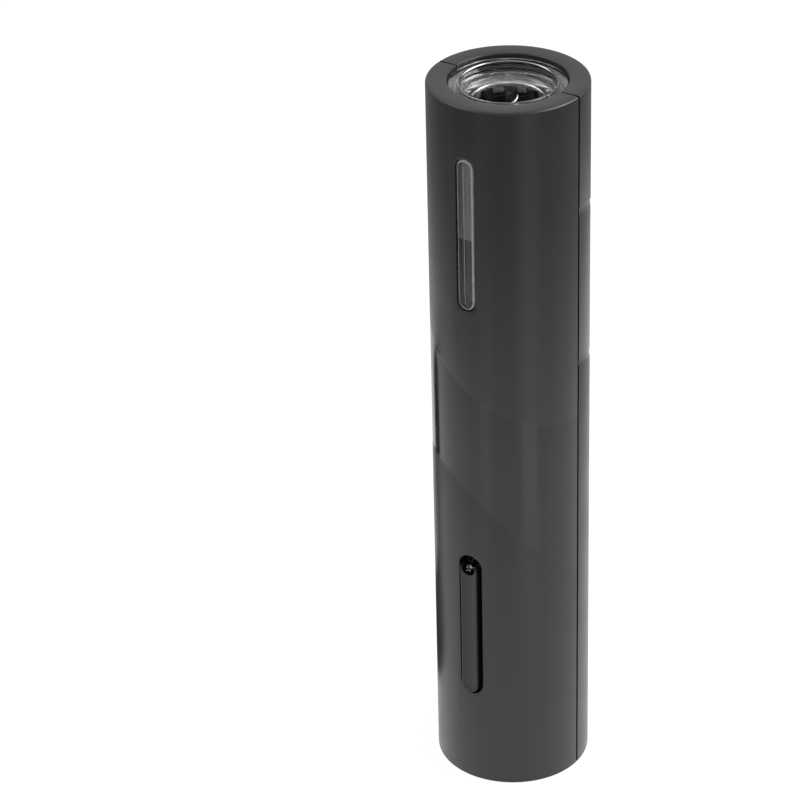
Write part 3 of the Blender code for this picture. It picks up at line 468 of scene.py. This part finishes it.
def turnedPiece(name, profile, sides, closed=True):
    # a ring drawn along its profile: extrude, then scale to the next radius
    letGo()
    radius, height = profile[0]
    bpy.ops.mesh.primitive_circle_add(vertices=sides, radius=radius, location=(0, 0, height))
    piece = called(name)
    openUp(piece)
    bpy.ops.mesh.select_all(action="SELECT")
    for nextRadius, nextHeight in profile[1:] + (profile[:1] if closed else []):
        bpy.ops.mesh.extrude_region_move(
            TRANSFORM_OT_translate={"value": (0, 0, nextHeight - height)}
        )
        factor = nextRadius / radius
        bpy.ops.transform.resize(value=(factor, factor, 1), center_override=(0, 0, 0))
        radius, height = nextRadius, nextHeight
    letGo()
    if not closed:
        openUp(piece)
        for end in (profile[0], profile[-1]):
            pick(piece, "edges", lambda at: abs(at.z - end[1]) < hair
                 and abs(hypot(at.x, at.y) - end[0]) < hair)
            bpy.ops.mesh.edge_face_add()
    cleanUp(piece)
    return piece


def roundRings(piece, rings):
    # rings of edges, each by its radius and height, with the width of the bevel
    for radius, height, width, segments in rings:
        openUp(piece)
        pick(piece, "edges", lambda at: abs(at.z - height) < 2 * hair
             and abs(hypot(at.x, at.y) - radius) < 2 * hair)
        bevelPicked(width, segments)
    letGo()


def obround(name, width, low, high, front, back, steps=46):
    # a cylinder across the wall, its upper and lower halves drawn apart
    letGo()
    reach = width / 2
    bpy.ops.mesh.primitive_cylinder_add(
        vertices=steps, radius=reach, depth=back - front,
        location=(0, (front + back) / 2, 0), rotation=(pi / 2, 0, 0),
    )
    piece = called(name)
    openUp(piece)
    pick(piece, "verts", lambda at: at.z > 0)
    bpy.ops.transform.translate(value=(0, 0, high - reach))
    pick(piece, "verts", lambda at: at.z < 0)
    bpy.ops.transform.translate(value=(0, 0, low + reach))
    letGo()
    return piece


def block(name, low, high):
    letGo()
    size = [b - a for a, b in zip(low, high)]
    bpy.ops.mesh.primitive_cube_add(
        size=1, location=[(a + b) / 2 for a, b in zip(low, high)], scale=size
    )
    return called(name)


def rodAlongY(name, x, z, radius, front, back, sides=32):
    letGo()
    bpy.ops.mesh.primitive_cylinder_add(
        vertices=sides, radius=radius, depth=back - front,
        location=(x, (front + back) / 2, z), rotation=(pi / 2, 0, 0),
    )
    return called(name)


def joined(name, pieces):
    letGo()
    for piece in pieces:
        piece.select_set(True)
    bpy.context.view_layer.objects.active = pieces[0]
    bpy.ops.object.join()
    return called(name)


def turnAll(piece, angle, axis):
    openUp(piece)
    bpy.ops.mesh.select_all(action="SELECT")
    bpy.ops.transform.rotate(value=angle, orient_axis=axis, center_override=(0, 0, 0))
    letGo()


def moveTo(piece, place):
    hold(piece)
    piece.location = place
    bpy.ops.object.transform_apply(location=True, rotation=False, scale=False)


def addStripsAcross(piece, spacing):
    # upright cuts, so that the flat wall can bend smoothly
    openUp(piece)
    half = piece.dimensions.x / 2
    count = ceil(2 * half / spacing)
    for index in range(1, count):
        bpy.ops.mesh.select_all(action="SELECT")
        bpy.ops.mesh.bisect(plane_co=(-half + 2 * half * index / count, 0, 0),
                            plane_no=(1, 0, 0))
    letGo()


def bendRound(piece, radius):
    # a flat wall, its outer face on y = 0, bent round the upright axis
    bend = piece.modifiers.new("bend", "SIMPLE_DEFORM")
    bend.deform_method = "BEND"
    bend.deform_axis = "Z"
    bend.angle = piece.dimensions.x / radius
    applyAll(piece)
    moveTo(piece, (0, -radius, 0))


def secondFinish(piece, finish, test):
    if finish.name not in piece.data.materials:
        piece.data.materials.append(finish)
    openUp(piece)
    pick(piece, "faces", test)
    piece.active_material_index = 1
    bpy.ops.object.material_slot_assign()
    letGo()


def finishPiece(piece, slot, rides, replaced, angle=radians(32)):
    hold(piece)
    if not piece.data.materials:
        piece.data.materials.append(finishes[slot])
    bpy.ops.object.shade_smooth_by_angle(angle=angle)
    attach(piece, rides)
    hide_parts(*replaced)
    letGo()


# the two half shells of the casing are modelled flat, then bent round
shells = {
    "stripWidth": 0.9 * mm,
    "rimRounding": 0.8 * mm,
    "footRounding": 0.5 * mm,
    "mouthRounding": 0.45 * mm,
    "seamStep": (0.3 * mm, 0.8 * mm),
    "rimStep": (0.2 * mm, 0.6 * mm),
    "openingBevel": 0.28 * mm,
    "strayLimit": 6.0 * mm,  # how far from the middle an opening's edges may be
    # lines across the wall just past the ends of the openings, to keep its shading even
    "lines": (34.4 * mm, 90.5 * mm, 181.3 * mm, 236.1 * mm),
    "lineReach": 6.5 * mm,
    # each rib: foot height, inner radius
    "ribs": [(6.7 * mm, 18.0 * mm), (10.9 * mm, 18.0 * mm), (103.5 * mm, 14.3 * mm),
             (132.0 * mm, 14.3 * mm), (136.0 * mm, 15.0 * mm), (170.5 * mm, 16.8 * mm),
             (238.9 * mm, 16.8 * mm), (245.1 * mm, 21.7 * mm)],
    "ribHeight": 2.0 * mm,
    # openings: width, low end, high end
    "window": (7.0 * mm, 181.9 * mm, 235.5 * mm),
    "slot": (8.7 * mm, 35.0 * mm, 89.9 * mm),
    "port": (9.4 * mm, 10.45 * mm, 14.25 * mm),
    "through": (-2 * mm, 12 * mm),  # front and back of the cutters
    # a channel inside for the leads: azimuth, half width, low end, high end, depth
    "leadChannel": (radians(-35), 1.7 * mm, 99.5 * mm, 241.2 * mm, 5.2 * mm),
    "channelSkin": 0.3 * mm,
    "screwAt": 19.9 * mm,
    "screwHeights": (20.0 * mm, 118.0 * mm, 222.0 * mm),
    "screwSeat": 10.97 * mm,
    "headRadius": 2.2 * mm,
    "boreRadius": 1.3 * mm,
    "boreEnd": -2 * mm,
    "postRadius": 3.0 * mm,
    "core": 24.85 * mm,  # the posts are trimmed to this radius
}

# the glossy sash winds round the body between two slanting cuts on each shell
sash = {
    # each cut: height on the axis and rise to the side, in body radii, then its turn
    "front": ((6.063, -0.66, radians(15)), (3.754, -0.97, radians(-41))),
    "rear": ((7.4735, 0.773, 0.0), (5.2577, 0.7717, 0.0)),
    # distance inside the cut and depth of each row of the lip
    "frontLip": ((0.25 * mm, 0.03 * mm), (1.2 * mm, 0.012 * mm)),
    "rearLip": ((0.8 * mm, 0.26 * mm), (2.8 * mm, 0.04 * mm)),
    "wallDepth": 0.02 * mm,  # the outer wall is what lies within this of the radius
    "glossDepth": 0.3 * mm,  # the gloss takes in the lips too
    "glossSpan": (60 * mm, 239 * mm),
    "flatAngle": radians(0.3),
}


def flatShell(name):
    half = pi * body["radius"] / 2 - body["seamGap"] / 2
    piece = block(name, (-half, 0, 0), (half, body["wall"], body["height"]))
    under = body["height"] - body["rimThickness"]
    spans = [(0.0, body["baseWall"], 0.0), (under, body["height"], body["mouthRadius"])]
    spans += [(low, low + shells["ribHeight"], inner) for low, inner in shells["ribs"]]
    openUp(piece)
    for low, high, inner in spans:
        for height in (low, high):
            if 0 < height < body["height"]:
                bpy.ops.mesh.select_all(action="SELECT")
                bpy.ops.mesh.bisect(plane_co=(0, 0, height), plane_no=(0, 0, 1))
    for low, high, inner in spans:
        pick(piece, "faces", lambda at: abs(at.y - body["wall"]) < hair
             and low - hair < at.z < high + hair)
        reach = body["radius"] - body["wall"] - inner
        bpy.ops.mesh.extrude_region_move(TRANSFORM_OT_translate={"value": (0, reach, 0)})
    letGo()
    return piece, half


def roundShellEdges(piece, half):
    rimInner = body["radius"] - body["mouthRadius"]
    top = body["height"]
    for depth, height, width, segments in (
        (0, top, shells["rimRounding"], 6), (0, 0, shells["footRounding"], 4),
        (rimInner, top, shells["mouthRounding"], 4),
    ):
        openUp(piece)
        pick(piece, "edges", lambda at: abs(at.y - depth) < hair and abs(at.z - height) < hair)
        bevelPicked(width, segments)
    # a small step along the seam, up the wall and over the rim
    for hand in (-1, 1):
        for (width, depth), low, reach in (
            (shells["seamStep"], -mm, shells["seamStep"][1]),
            (shells["rimStep"], top - shells["rimStep"][1], rimInner + mm),
        ):
            ends = sorted((hand * (half - width), hand * (half + mm)))
            change(piece, block("step", (ends[0], -mm, low), (ends[1], reach, top + mm)))


def sashPlane(cut):
    level, rise, turn = cut
    normal = Vector((-rise * cos(turn), rise * sin(turn), 1.0))
    return Vector((0, 0, level * body["radius"])), normal.normalized()


def cutSash(piece, side):
    upper, lower = (sashPlane(cut) for cut in sash[side])
    outer = body["radius"] - sash["wallDepth"]
    gloss = body["radius"] - sash["glossDepth"]
    lowest, highest = sash["glossSpan"]

    def onWall(at):
        return hypot(at.x, at.y) > outer

    rows = []
    for (origin, normal), inwards in ((upper, -1), (lower, 1)):
        for offset, depth in ((0, 0),) + sash[side + "Lip"]:
            rows.append((origin + normal * inwards * offset, normal, depth))
    openUp(piece)
    # the ribs' lines are taken off the outside first, so that the lips run smoothly
    pick(piece, "faces", onWall)
    bpy.ops.mesh.dissolve_limited(angle_limit=sash["flatAngle"])
    for height in shells["lines"] if side == "front" else ():
        pick(piece, "faces", lambda at: onWall(at) and abs(at.x) < shells["lineReach"])
        bpy.ops.mesh.bisect(plane_co=(0, 0, height), plane_no=(0, 0, 1))
    for place, normal, depth in rows:
        pick(piece, "faces", onWall)
        bpy.ops.mesh.bisect(plane_co=place, plane_no=normal)
    for place, normal, depth in rows:
        if depth:
            pick(piece, "verts", lambda at: onWall(at) and abs((at - place).dot(normal)) < hair)
            factor = 1 - depth / body["radius"]
            bpy.ops.transform.resize(value=(factor, factor, 1), center_override=(0, 0, 0))
    pick(piece, "faces", lambda at: hypot(at.x, at.y) > gloss and lowest < at.z < highest
         and (at - upper[0]).dot(upper[1]) < 2 * hair and (at - lower[0]).dot(lower[1]) > -2 * hair)
    piece.active_material_index = 1
    bpy.ops.object.material_slot_assign()
    letGo()


def addPosts(piece, side):
    posts = []
    for hand in (-1, 1):
        for height in shells["screwHeights"]:
            ends = sorted((side * body["seamGap"] / 2, side * body["radius"]))
            posts.append(rodAlongY("post", hand * shells["screwAt"], height,
                                   shells["postRadius"], *ends))
    post = joined("posts", posts)
    bpy.ops.mesh.primitive_cylinder_add(vertices=128, radius=shells["core"],
                                        depth=body["height"], location=(0, 0, body["height"] / 2))
    core = called("core")
    change(post, core, "INTERSECT")
    change(piece, post, "UNION")
    if side < 0:
        return
    holes = []
    for hand in (-1, 1):
        for height in shells["screwHeights"]:
            at = (hand * shells["screwAt"], height)
            sink = rodAlongY("sink", *at, shells["headRadius"], shells["screwSeat"],
                             body["radius"] * 1.1)
            bore = rodAlongY("bore", *at, shells["boreRadius"], shells["boreEnd"],
                             shells["screwSeat"] + 0.5 * mm)
            holes.append(change(sink, bore, "UNION"))
    change(piece, joined("holes", holes))


def bevelOpenings(piece, low, high):
    openUp(piece)
    pick(piece, "edges", lambda at: abs(at.y) < hair and abs(at.x) < shells["strayLimit"]
         and low - mm < at.z < high + mm)
    bevelPicked(shells["openingBevel"], 3)
    letGo()


def finishShell(piece, half, side, hand, sheen):
    roundShellEdges(piece, half)
    addStripsAcross(piece, shells["stripWidth"])
    bendRound(piece, body["radius"])
    if hand > 0:
        turnAll(piece, pi, "Z")
    cleanUp(piece)
    for finish in (casingSatin, sheen):
        piece.data.materials.append(finish)
    cutSash(piece, side)
    addPosts(piece, hand)
    finishPiece(piece, "casing", "casing", [f"{side}_shell"])


def buildFrontShell():
    piece, half = flatShell("frontShell")
    for opening in ("window", "slot"):
        change(piece, obround("cut", *shells[opening], *shells["through"]))
    angle, reach, low, high, depth = shells["leadChannel"]
    middle = angle * body["radius"]
    change(piece, block("cut", (middle - reach, body["wall"] + shells["channelSkin"], low),
                        (middle + reach, depth, high)))
    bevelOpenings(piece, shells["slot"][1], shells["window"][2])
    finishShell(piece, half, "front", -1, casingPolished)


def buildRearShell():
    piece, half = flatShell("rearShell")
    width, low, high = shells["port"]
    cut = obround("cut", high - low, -width / 2, width / 2, *shells["through"])
    turnAll(cut, pi / 2, "Y")
    moveTo(cut, (0, 0, (low + high) / 2))
    change(piece, cut)
    bevelOpenings(piece, low, high)
    finishShell(piece, half, "rear", 1, casingSheen)


buildFrontShell()
print("front shell built")
buildRearShell()
print("rear shell built")


# the clear collar in the mouth, in one piece with its sleeve
collar = {
    "sides": 192,
    # radius and height of each corner
    "profile": [
        (11.8 * mm, 245.9 * mm), (14.5 * mm, 246.7 * mm), (15.1 * mm, 249.1 * mm),
        (15.3 * mm, 251.7 * mm), (16.4 * mm, 251.7 * mm), (16.4 * mm, 251.3 * mm),
        (18.94 * mm, 251.3 * mm), (18.94 * mm, 249.4 * mm), (22.2 * mm, 249.4 * mm),
        (22.2 * mm, 247.4 * mm), (16.7 * mm, 247.4 * mm), (16.7 * mm, 244.3 * mm),
        (13.9 * mm, 244.3 * mm), (13.9 * mm, 232.0 * mm), (13.9 * mm, 206.0 * mm),
        (12.3 * mm, 206.0 * mm), (12.3 * mm, 243.5 * mm), (11.8 * mm, 244.7 * mm),
    ],
    # radius and height of each rounded corner, width and steps of its bevel
    "rounded": [
        (15.3 * mm, 251.7 * mm, 0.5 * mm, 5), (16.4 * mm, 251.7 * mm, 0.38 * mm, 5),
        (18.94 * mm, 251.3 * mm, 0.3 * mm, 3), (14.5 * mm, 246.7 * mm, 0.5 * mm, 4),
        (11.8 * mm, 245.9 * mm, 0.45 * mm, 4), (16.7 * mm, 244.3 * mm, 0.6 * mm, 4),
        (13.9 * mm, 206.0 * mm, 0.4 * mm, 3), (12.3 * mm, 206.0 * mm, 0.4 * mm, 3),
        (16.7 * mm, 247.4 * mm, 0.4 * mm, 3),
    ],
    "sleevePaintedGlow": (13.8 * mm, 232.5 * mm),  # the sleeve's painted glow: outside this radius, below this height
    "collarPaintedGlow": (16.2 * mm, 17.0 * mm, 244.2 * mm, 251.0 * mm),  # the cup's painted glow: radii, then heights
}


def buildCollar():
    piece = turnedPiece("clearCollar", collar["profile"], collar["sides"])
    roundRings(piece, collar["rounded"])
    cleanUp(piece)
    sleeveRadius, sleeveTop = collar["sleevePaintedGlow"]
    cupInner, cupOuter, cupLow, cupHigh = collar["collarPaintedGlow"]
    piece.data.materials.append(finishes["clear"])
    # the sleeve's outside and the cup's outer wall take the paler finish, a painted glow
    secondFinish(piece, collarPaintedGlow, lambda at: (
        hypot(at.x, at.y) > sleeveRadius and at.z < sleeveTop
        or cupInner < hypot(at.x, at.y) < cupOuter and cupLow < at.z < cupHigh))
    finishPiece(piece, "clear", "casing", ["bottle_collar"], radians(40))


windowPane = {
    "sides": 62,
    "stripWidth": 0.5 * mm,
    # obrounds: width, low end, high end, front, back
    "pane": (6.4 * mm, 182.2 * mm, 235.2 * mm, 0.02 * mm, 3.0 * mm),
    "flange": (10.6 * mm, 180.1 * mm, 237.3 * mm, 2.6 * mm, 3.8 * mm),
    "edge": 1.0 * mm,
    # a fine line moulded down the pane: both sides and depth
    "line": (-0.5 * mm, -0.05 * mm, 0.2 * mm),
    # above this height the back of the pane takes the paler finish, a painted glow
    "paintedGlowFrom": 206.3 * mm,
}


def buildWindow():
    width, low, high, front, back = windowPane["pane"]
    piece = obround("windowPane", width, low, high, front, back, windowPane["sides"])
    openUp(piece)
    pick(piece, "edges", lambda at: abs(at.y - front) < hair)
    bevelPicked(windowPane["edge"], 5)
    left, right, depth = windowPane["line"]
    change(piece, block("line", (left, -mm, low + 2 * mm), (right, front + depth, high - 2 * mm)))
    piece.data.materials.clear()
    piece.data.materials.append(finishes["clear"])
    # the bevelled border and the moulded line take the paler finish: a painted highlight
    secondFinish(piece, panePaintedGlow, lambda at: front + hair < at.y < front + windowPane["edge"])
    change(piece, obround("flange", *windowPane["flange"], windowPane["sides"]), "UNION")
    addStripsAcross(piece, windowPane["stripWidth"])
    openUp(piece)
    bpy.ops.mesh.select_all(action="SELECT")
    bpy.ops.mesh.bisect(plane_co=(0, 0, windowPane["paintedGlowFrom"]), plane_no=(0, 0, 1))
    letGo()
    bendRound(piece, body["radius"])
    cleanUp(piece)
    # the back of the pane above that height takes the paler finish: painted light where the lit
    # sleeve stands behind
    secondFinish(piece, panePaintedGlow, lambda at: at.z > windowPane["paintedGlowFrom"] - 10 * hair
                 and hypot(at.x, at.y) < body["radius"] - windowPane["flange"][-1] + 0.1 * mm)
    finishPiece(piece, "clear", "casing", ["window_lens"], radians(40))


rocker = {
    # obrounds: width, low end, high end, front, back
    "cap": (6.0 * mm, 36.0 * mm, 87.7 * mm, -1.3 * mm, 4.2 * mm),
    "flange": (10.6 * mm, 35.2 * mm, 88.5 * mm, 3.5 * mm, 4.6 * mm),
    "edge": 0.5 * mm,
    # inset and depth of each step of the hollow
    "dish": ((0.5 * mm, 0.17 * mm), (0.7 * mm, 0.15 * mm), (0.75 * mm, 0.05 * mm)),
    "lightHole": (2.6 * mm, 85.4 * mm),  # radius, height
    "holeSpan": (-30 * mm, -18 * mm),
    "pivot": (-20.5 * mm, 61.85 * mm),  # depth, height
    "lug": (2.4 * mm, 2.5 * mm),  # half width, half height
    "lugSpan": (-1.5 * mm, 1.7 * mm),
    "bore": 1.05 * mm,
    "sides": 62,
    "stripWidth": 0.5 * mm,
}


def buildRocker():
    width, low, high, front, back = rocker["cap"]
    piece = obround("rockerCap", width, low, high, front, back, rocker["sides"])
    openUp(piece)
    pick(piece, "edges", lambda at: abs(at.y - front) < hair)
    bevelPicked(rocker["edge"], 5)
    pick(piece, "faces", lambda at: abs(at.y - front) < hair)
    for width, depth in rocker["dish"]:
        bpy.ops.mesh.inset(thickness=width, depth=-depth)
    change(piece, obround("flange", *rocker["flange"], rocker["sides"]), "UNION")
    addStripsAcross(piece, rocker["stripWidth"])
    bendRound(piece, body["radius"])
    cleanUp(piece)
    depth, middle = rocker["pivot"]
    reach, tall = rocker["lug"]
    before, behind = rocker["lugSpan"]
    lug = block("lug", (-reach, depth + before, middle - tall),
                (reach, depth + behind, middle + tall))
    change(piece, lug, "UNION")
    bpy.ops.mesh.primitive_cylinder_add(vertices=32, radius=rocker["bore"], depth=20 * mm,
                                        location=(0, depth, middle), rotation=(0, pi / 2, 0))
    change(piece, called("bore"))
    radius, height = rocker["lightHole"]
    change(piece, rodAlongY("hole", 0, height, radius, *rocker["holeSpan"], 48))
    finishPiece(piece, "button", "rocker", ["rocker_button"])


statusLight = {
    "sides": 48,
    "radius": 1.5 * mm,
    "height": 85.2 * mm,
    "front": -26.95 * mm,
    "back": -19.9 * mm,
    "dome": 0.75,  # share of the radius that is rounded over
    "cross": ((0.5 * mm, 4 * mm), (4 * mm, 0.4 * mm)),  # width and height of each groove
    "crossDepth": 0.8 * mm,
}


def buildStatusLight():
    radius = statusLight["radius"]
    length = statusLight["back"] - statusLight["front"]
    piece = turnedPiece("statusLight", [(radius, 0), (radius, length)],
                        statusLight["sides"], closed=False)
    openUp(piece)
    pick(piece, "edges", lambda at: at.z > length - hair)
    bevelPicked(statusLight["dome"] * radius, 6)
    letGo()
    turnAll(piece, -pi / 2, "X")
    if piece.bound_box[0][1] > -hair:  # the turn went the other way
        turnAll(piece, pi, "X")
    moveTo(piece, (0, statusLight["back"], statusLight["height"]))
    cleanUp(piece)
    for width, tall in statusLight["cross"]:
        change(piece, block("groove", (-width / 2, statusLight["front"] - mm,
                                       statusLight["height"] - tall / 2),
                            (width / 2, statusLight["front"] + statusLight["crossDepth"],
                             statusLight["height"] + tall / 2)))
    finishPiece(piece, "clear", "casing", ["indicator_lens"], radians(40))


# the inner frame that holds the sleeve
chamber = {
    "sides": 144,
    # radius and height of each corner
    "profile": [
        (14.3 * mm, 244.0 * mm), (16.5 * mm, 244.0 * mm), (16.5 * mm, 170.2 * mm),
        (20.5 * mm, 170.2 * mm), (20.5 * mm, 167.7 * mm), (14.3 * mm, 167.7 * mm),
        (14.3 * mm, 180.7 * mm), (12.8 * mm, 181.7 * mm), (12.8 * mm, 188.0 * mm),
        (8.0 * mm, 188.0 * mm), (8.0 * mm, 190.5 * mm), (14.3 * mm, 190.5 * mm),
    ],
    "rounded": [(14.3 * mm, 244.0 * mm, 0.3 * mm, 2), (16.5 * mm, 244.0 * mm, 0.3 * mm, 2),
                (8.0 * mm, 190.5 * mm, 0.4 * mm, 3)],
    "notches": 6,
    "notchTurn": radians(15),
    "notch": (2.0 * mm, 240.5 * mm),  # half width, foot
    "sight": (10.0 * mm, 190.8 * mm, 237.5 * mm),  # width, low end, high end
    "sightBack": -7 * mm,
}


def buildChamber():
    piece = turnedPiece("chamberFrame", chamber["profile"], chamber["sides"])
    roundRings(piece, chamber["rounded"])
    half, low = chamber["notch"]
    far = 2 * body["radius"]
    for index in range(chamber["notches"]):
        cut = block("notch", (-far, -half, low), (far, half, body["height"]))
        angle = chamber["notchTurn"] + pi * index / chamber["notches"]
        cut.rotation_euler = (0, 0, angle)
        change(piece, cut)
    change(piece, obround("sight", *chamber["sight"], -far, chamber["sightBack"]))
    cleanUp(piece)
    finishPiece(piece, "frame", "casing", ["chamber_frame"])


worm = {
    "wire": 1.3 * mm,
    "coil": 3.0 * mm,
    "pitch": 9.2 * mm,
    "foot": 200.0 * mm,
    "tip": 247.1 * mm,
    "tipAngle": radians(35),
    "shank": 8.0 * mm,
    "blend": 0.45,  # turns from the shank out to the full coil
    "taper": 0.8,  # turns over which the tip thins
    "tipSize": 0.1,
    "perTurn": 48,
}


def buildWorm():
    turns = (worm["tip"] - worm["foot"]) / worm["pitch"]
    count = ceil(turns * worm["perTurn"])
    places = [(0, 0, worm["foot"] - worm["shank"], 1.0), (0, 0, worm["foot"] - 0.5 * mm, 1.0)]
    for index in range(1, count + 1):
        turn = turns * index / count
        angle = worm["tipAngle"] - 2 * pi * (turns - turn)
        rise = min(turn / worm["blend"], 1.0)
        reach = worm["coil"] * rise * rise * (3 - 2 * rise)
        left = min((turns - turn) / worm["taper"], 1.0)
        thickness = worm["tipSize"] + (1 - worm["tipSize"]) * left**0.8
        places.append((reach * cos(angle), reach * sin(angle),
                       worm["foot"] + turn * worm["pitch"], thickness))
    curve = bpy.data.curves.new("wormWire", "CURVE")
    curve.dimensions = "3D"
    curve.bevel_depth = worm["wire"]
    curve.bevel_resolution = 4
    curve.use_fill_caps = True
    line = curve.splines.new("POLY")
    line.points.add(len(places) - 1)
    for point, (x, y, z, size) in zip(line.points, places):
        point.co = (x, y, z, 1)
        point.radius = size
    piece = bpy.data.objects.new("wormWire", curve)
    bpy.context.scene.collection.objects.link(piece)
    hold(piece)
    bpy.ops.object.convert(target="MESH")
    piece = bpy.context.active_object
    cleanUp(piece)
    finishPiece(piece, "worm", "spindle", ["worm"], radians(50))


chamberLights = {
    "sides": 40,
    "dome": 0.9,  # share of the radius that is rounded over
}


def buildLights():
    # the two chamber lights take their size from the frame, and get a dome
    for node in ("chamber_led_left", "chamber_led_right"):
        low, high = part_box(node)
        radius = (high.x - low.x) / 2
        piece = turnedPiece(node.replace("chamber_led_", "chamberLight."),
                            [(radius, low.z), (radius, high.z)],
                            chamberLights["sides"], closed=False)
        openUp(piece)
        pick(piece, "edges", lambda at: at.z > high.z - hair)
        bevelPicked(chamberLights["dome"] * radius, 6)
        moveTo(piece, ((low.x + high.x) / 2, (low.y + high.y) / 2, 0))
        cleanUp(piece)
        finishPiece(piece, "led", "casing", [node], radians(40))


buildCollar()
buildWindow()
print("collar and window built")
buildRocker()
buildStatusLight()
print("rocker and its light built")
buildChamber()
buildWorm()
buildLights()
print("chamber built")


screws = {
    "sides": 40,
    "head": 1.9 * mm,
    "headHeight": 1.8 * mm,
    "seat": 11.27 * mm,
    "shank": 1.0 * mm,
    "reach": -7.0 * mm,
    "crossWidth": 0.55 * mm,
    "crossLength": 2.2 * mm,
    "crossDepth": 1.0 * mm,
    "headBevel": 0.45 * mm,
    "endBevel": 0.4 * mm,
    "stopStep": 0.5,  # radians of turn for each mm of height, so that no two stop alike
}


def buildScrews():
    top = screws["seat"] + screws["headHeight"]
    first = turnedPiece("screw", [
        (screws["shank"], screws["reach"]), (screws["shank"], screws["seat"]),
        (screws["head"], screws["seat"]), (screws["head"], top),
    ], screws["sides"], closed=False)
    roundRings(first, [(screws["head"], top, screws["headBevel"], 4),
                       (screws["shank"], screws["reach"], screws["endBevel"], 2)])
    for width, length in ((screws["crossWidth"], screws["crossLength"]),
                          (screws["crossLength"], screws["crossWidth"])):
        cut = block("cross", (-width / 2, -length / 2, top - screws["crossDepth"]),
                    (width / 2, length / 2, top + mm))
        change(first, cut)
    turnAll(first, pi / 2, "X")
    if first.bound_box[0][1] < -10 * mm:  # the turn went the other way
        turnAll(first, pi, "X")
    cleanUp(first)
    names = ("low", "mid", "high")
    for side, hand in (("left", -1), ("right", 1)):
        for level, height in zip(names, shells["screwHeights"]):
            piece = first.copy()
            piece.data = first.data.copy()
            bpy.context.scene.collection.objects.link(piece)
            piece.name = piece.data.name = f"caseScrew.{side}.{level}"
            hold(piece)
            piece.rotation_euler = (0, screws["stopStep"] * height / mm, 0)
            bpy.ops.object.transform_apply(location=False, rotation=True, scale=False)
            moveTo(piece, (hand * shells["screwAt"], 0, height))
            finishPiece(piece, "steel", "casing", [f"shell_screw_{side}_{level}"])
    bpy.data.objects.remove(first)


buildScrews()
print("screws built")
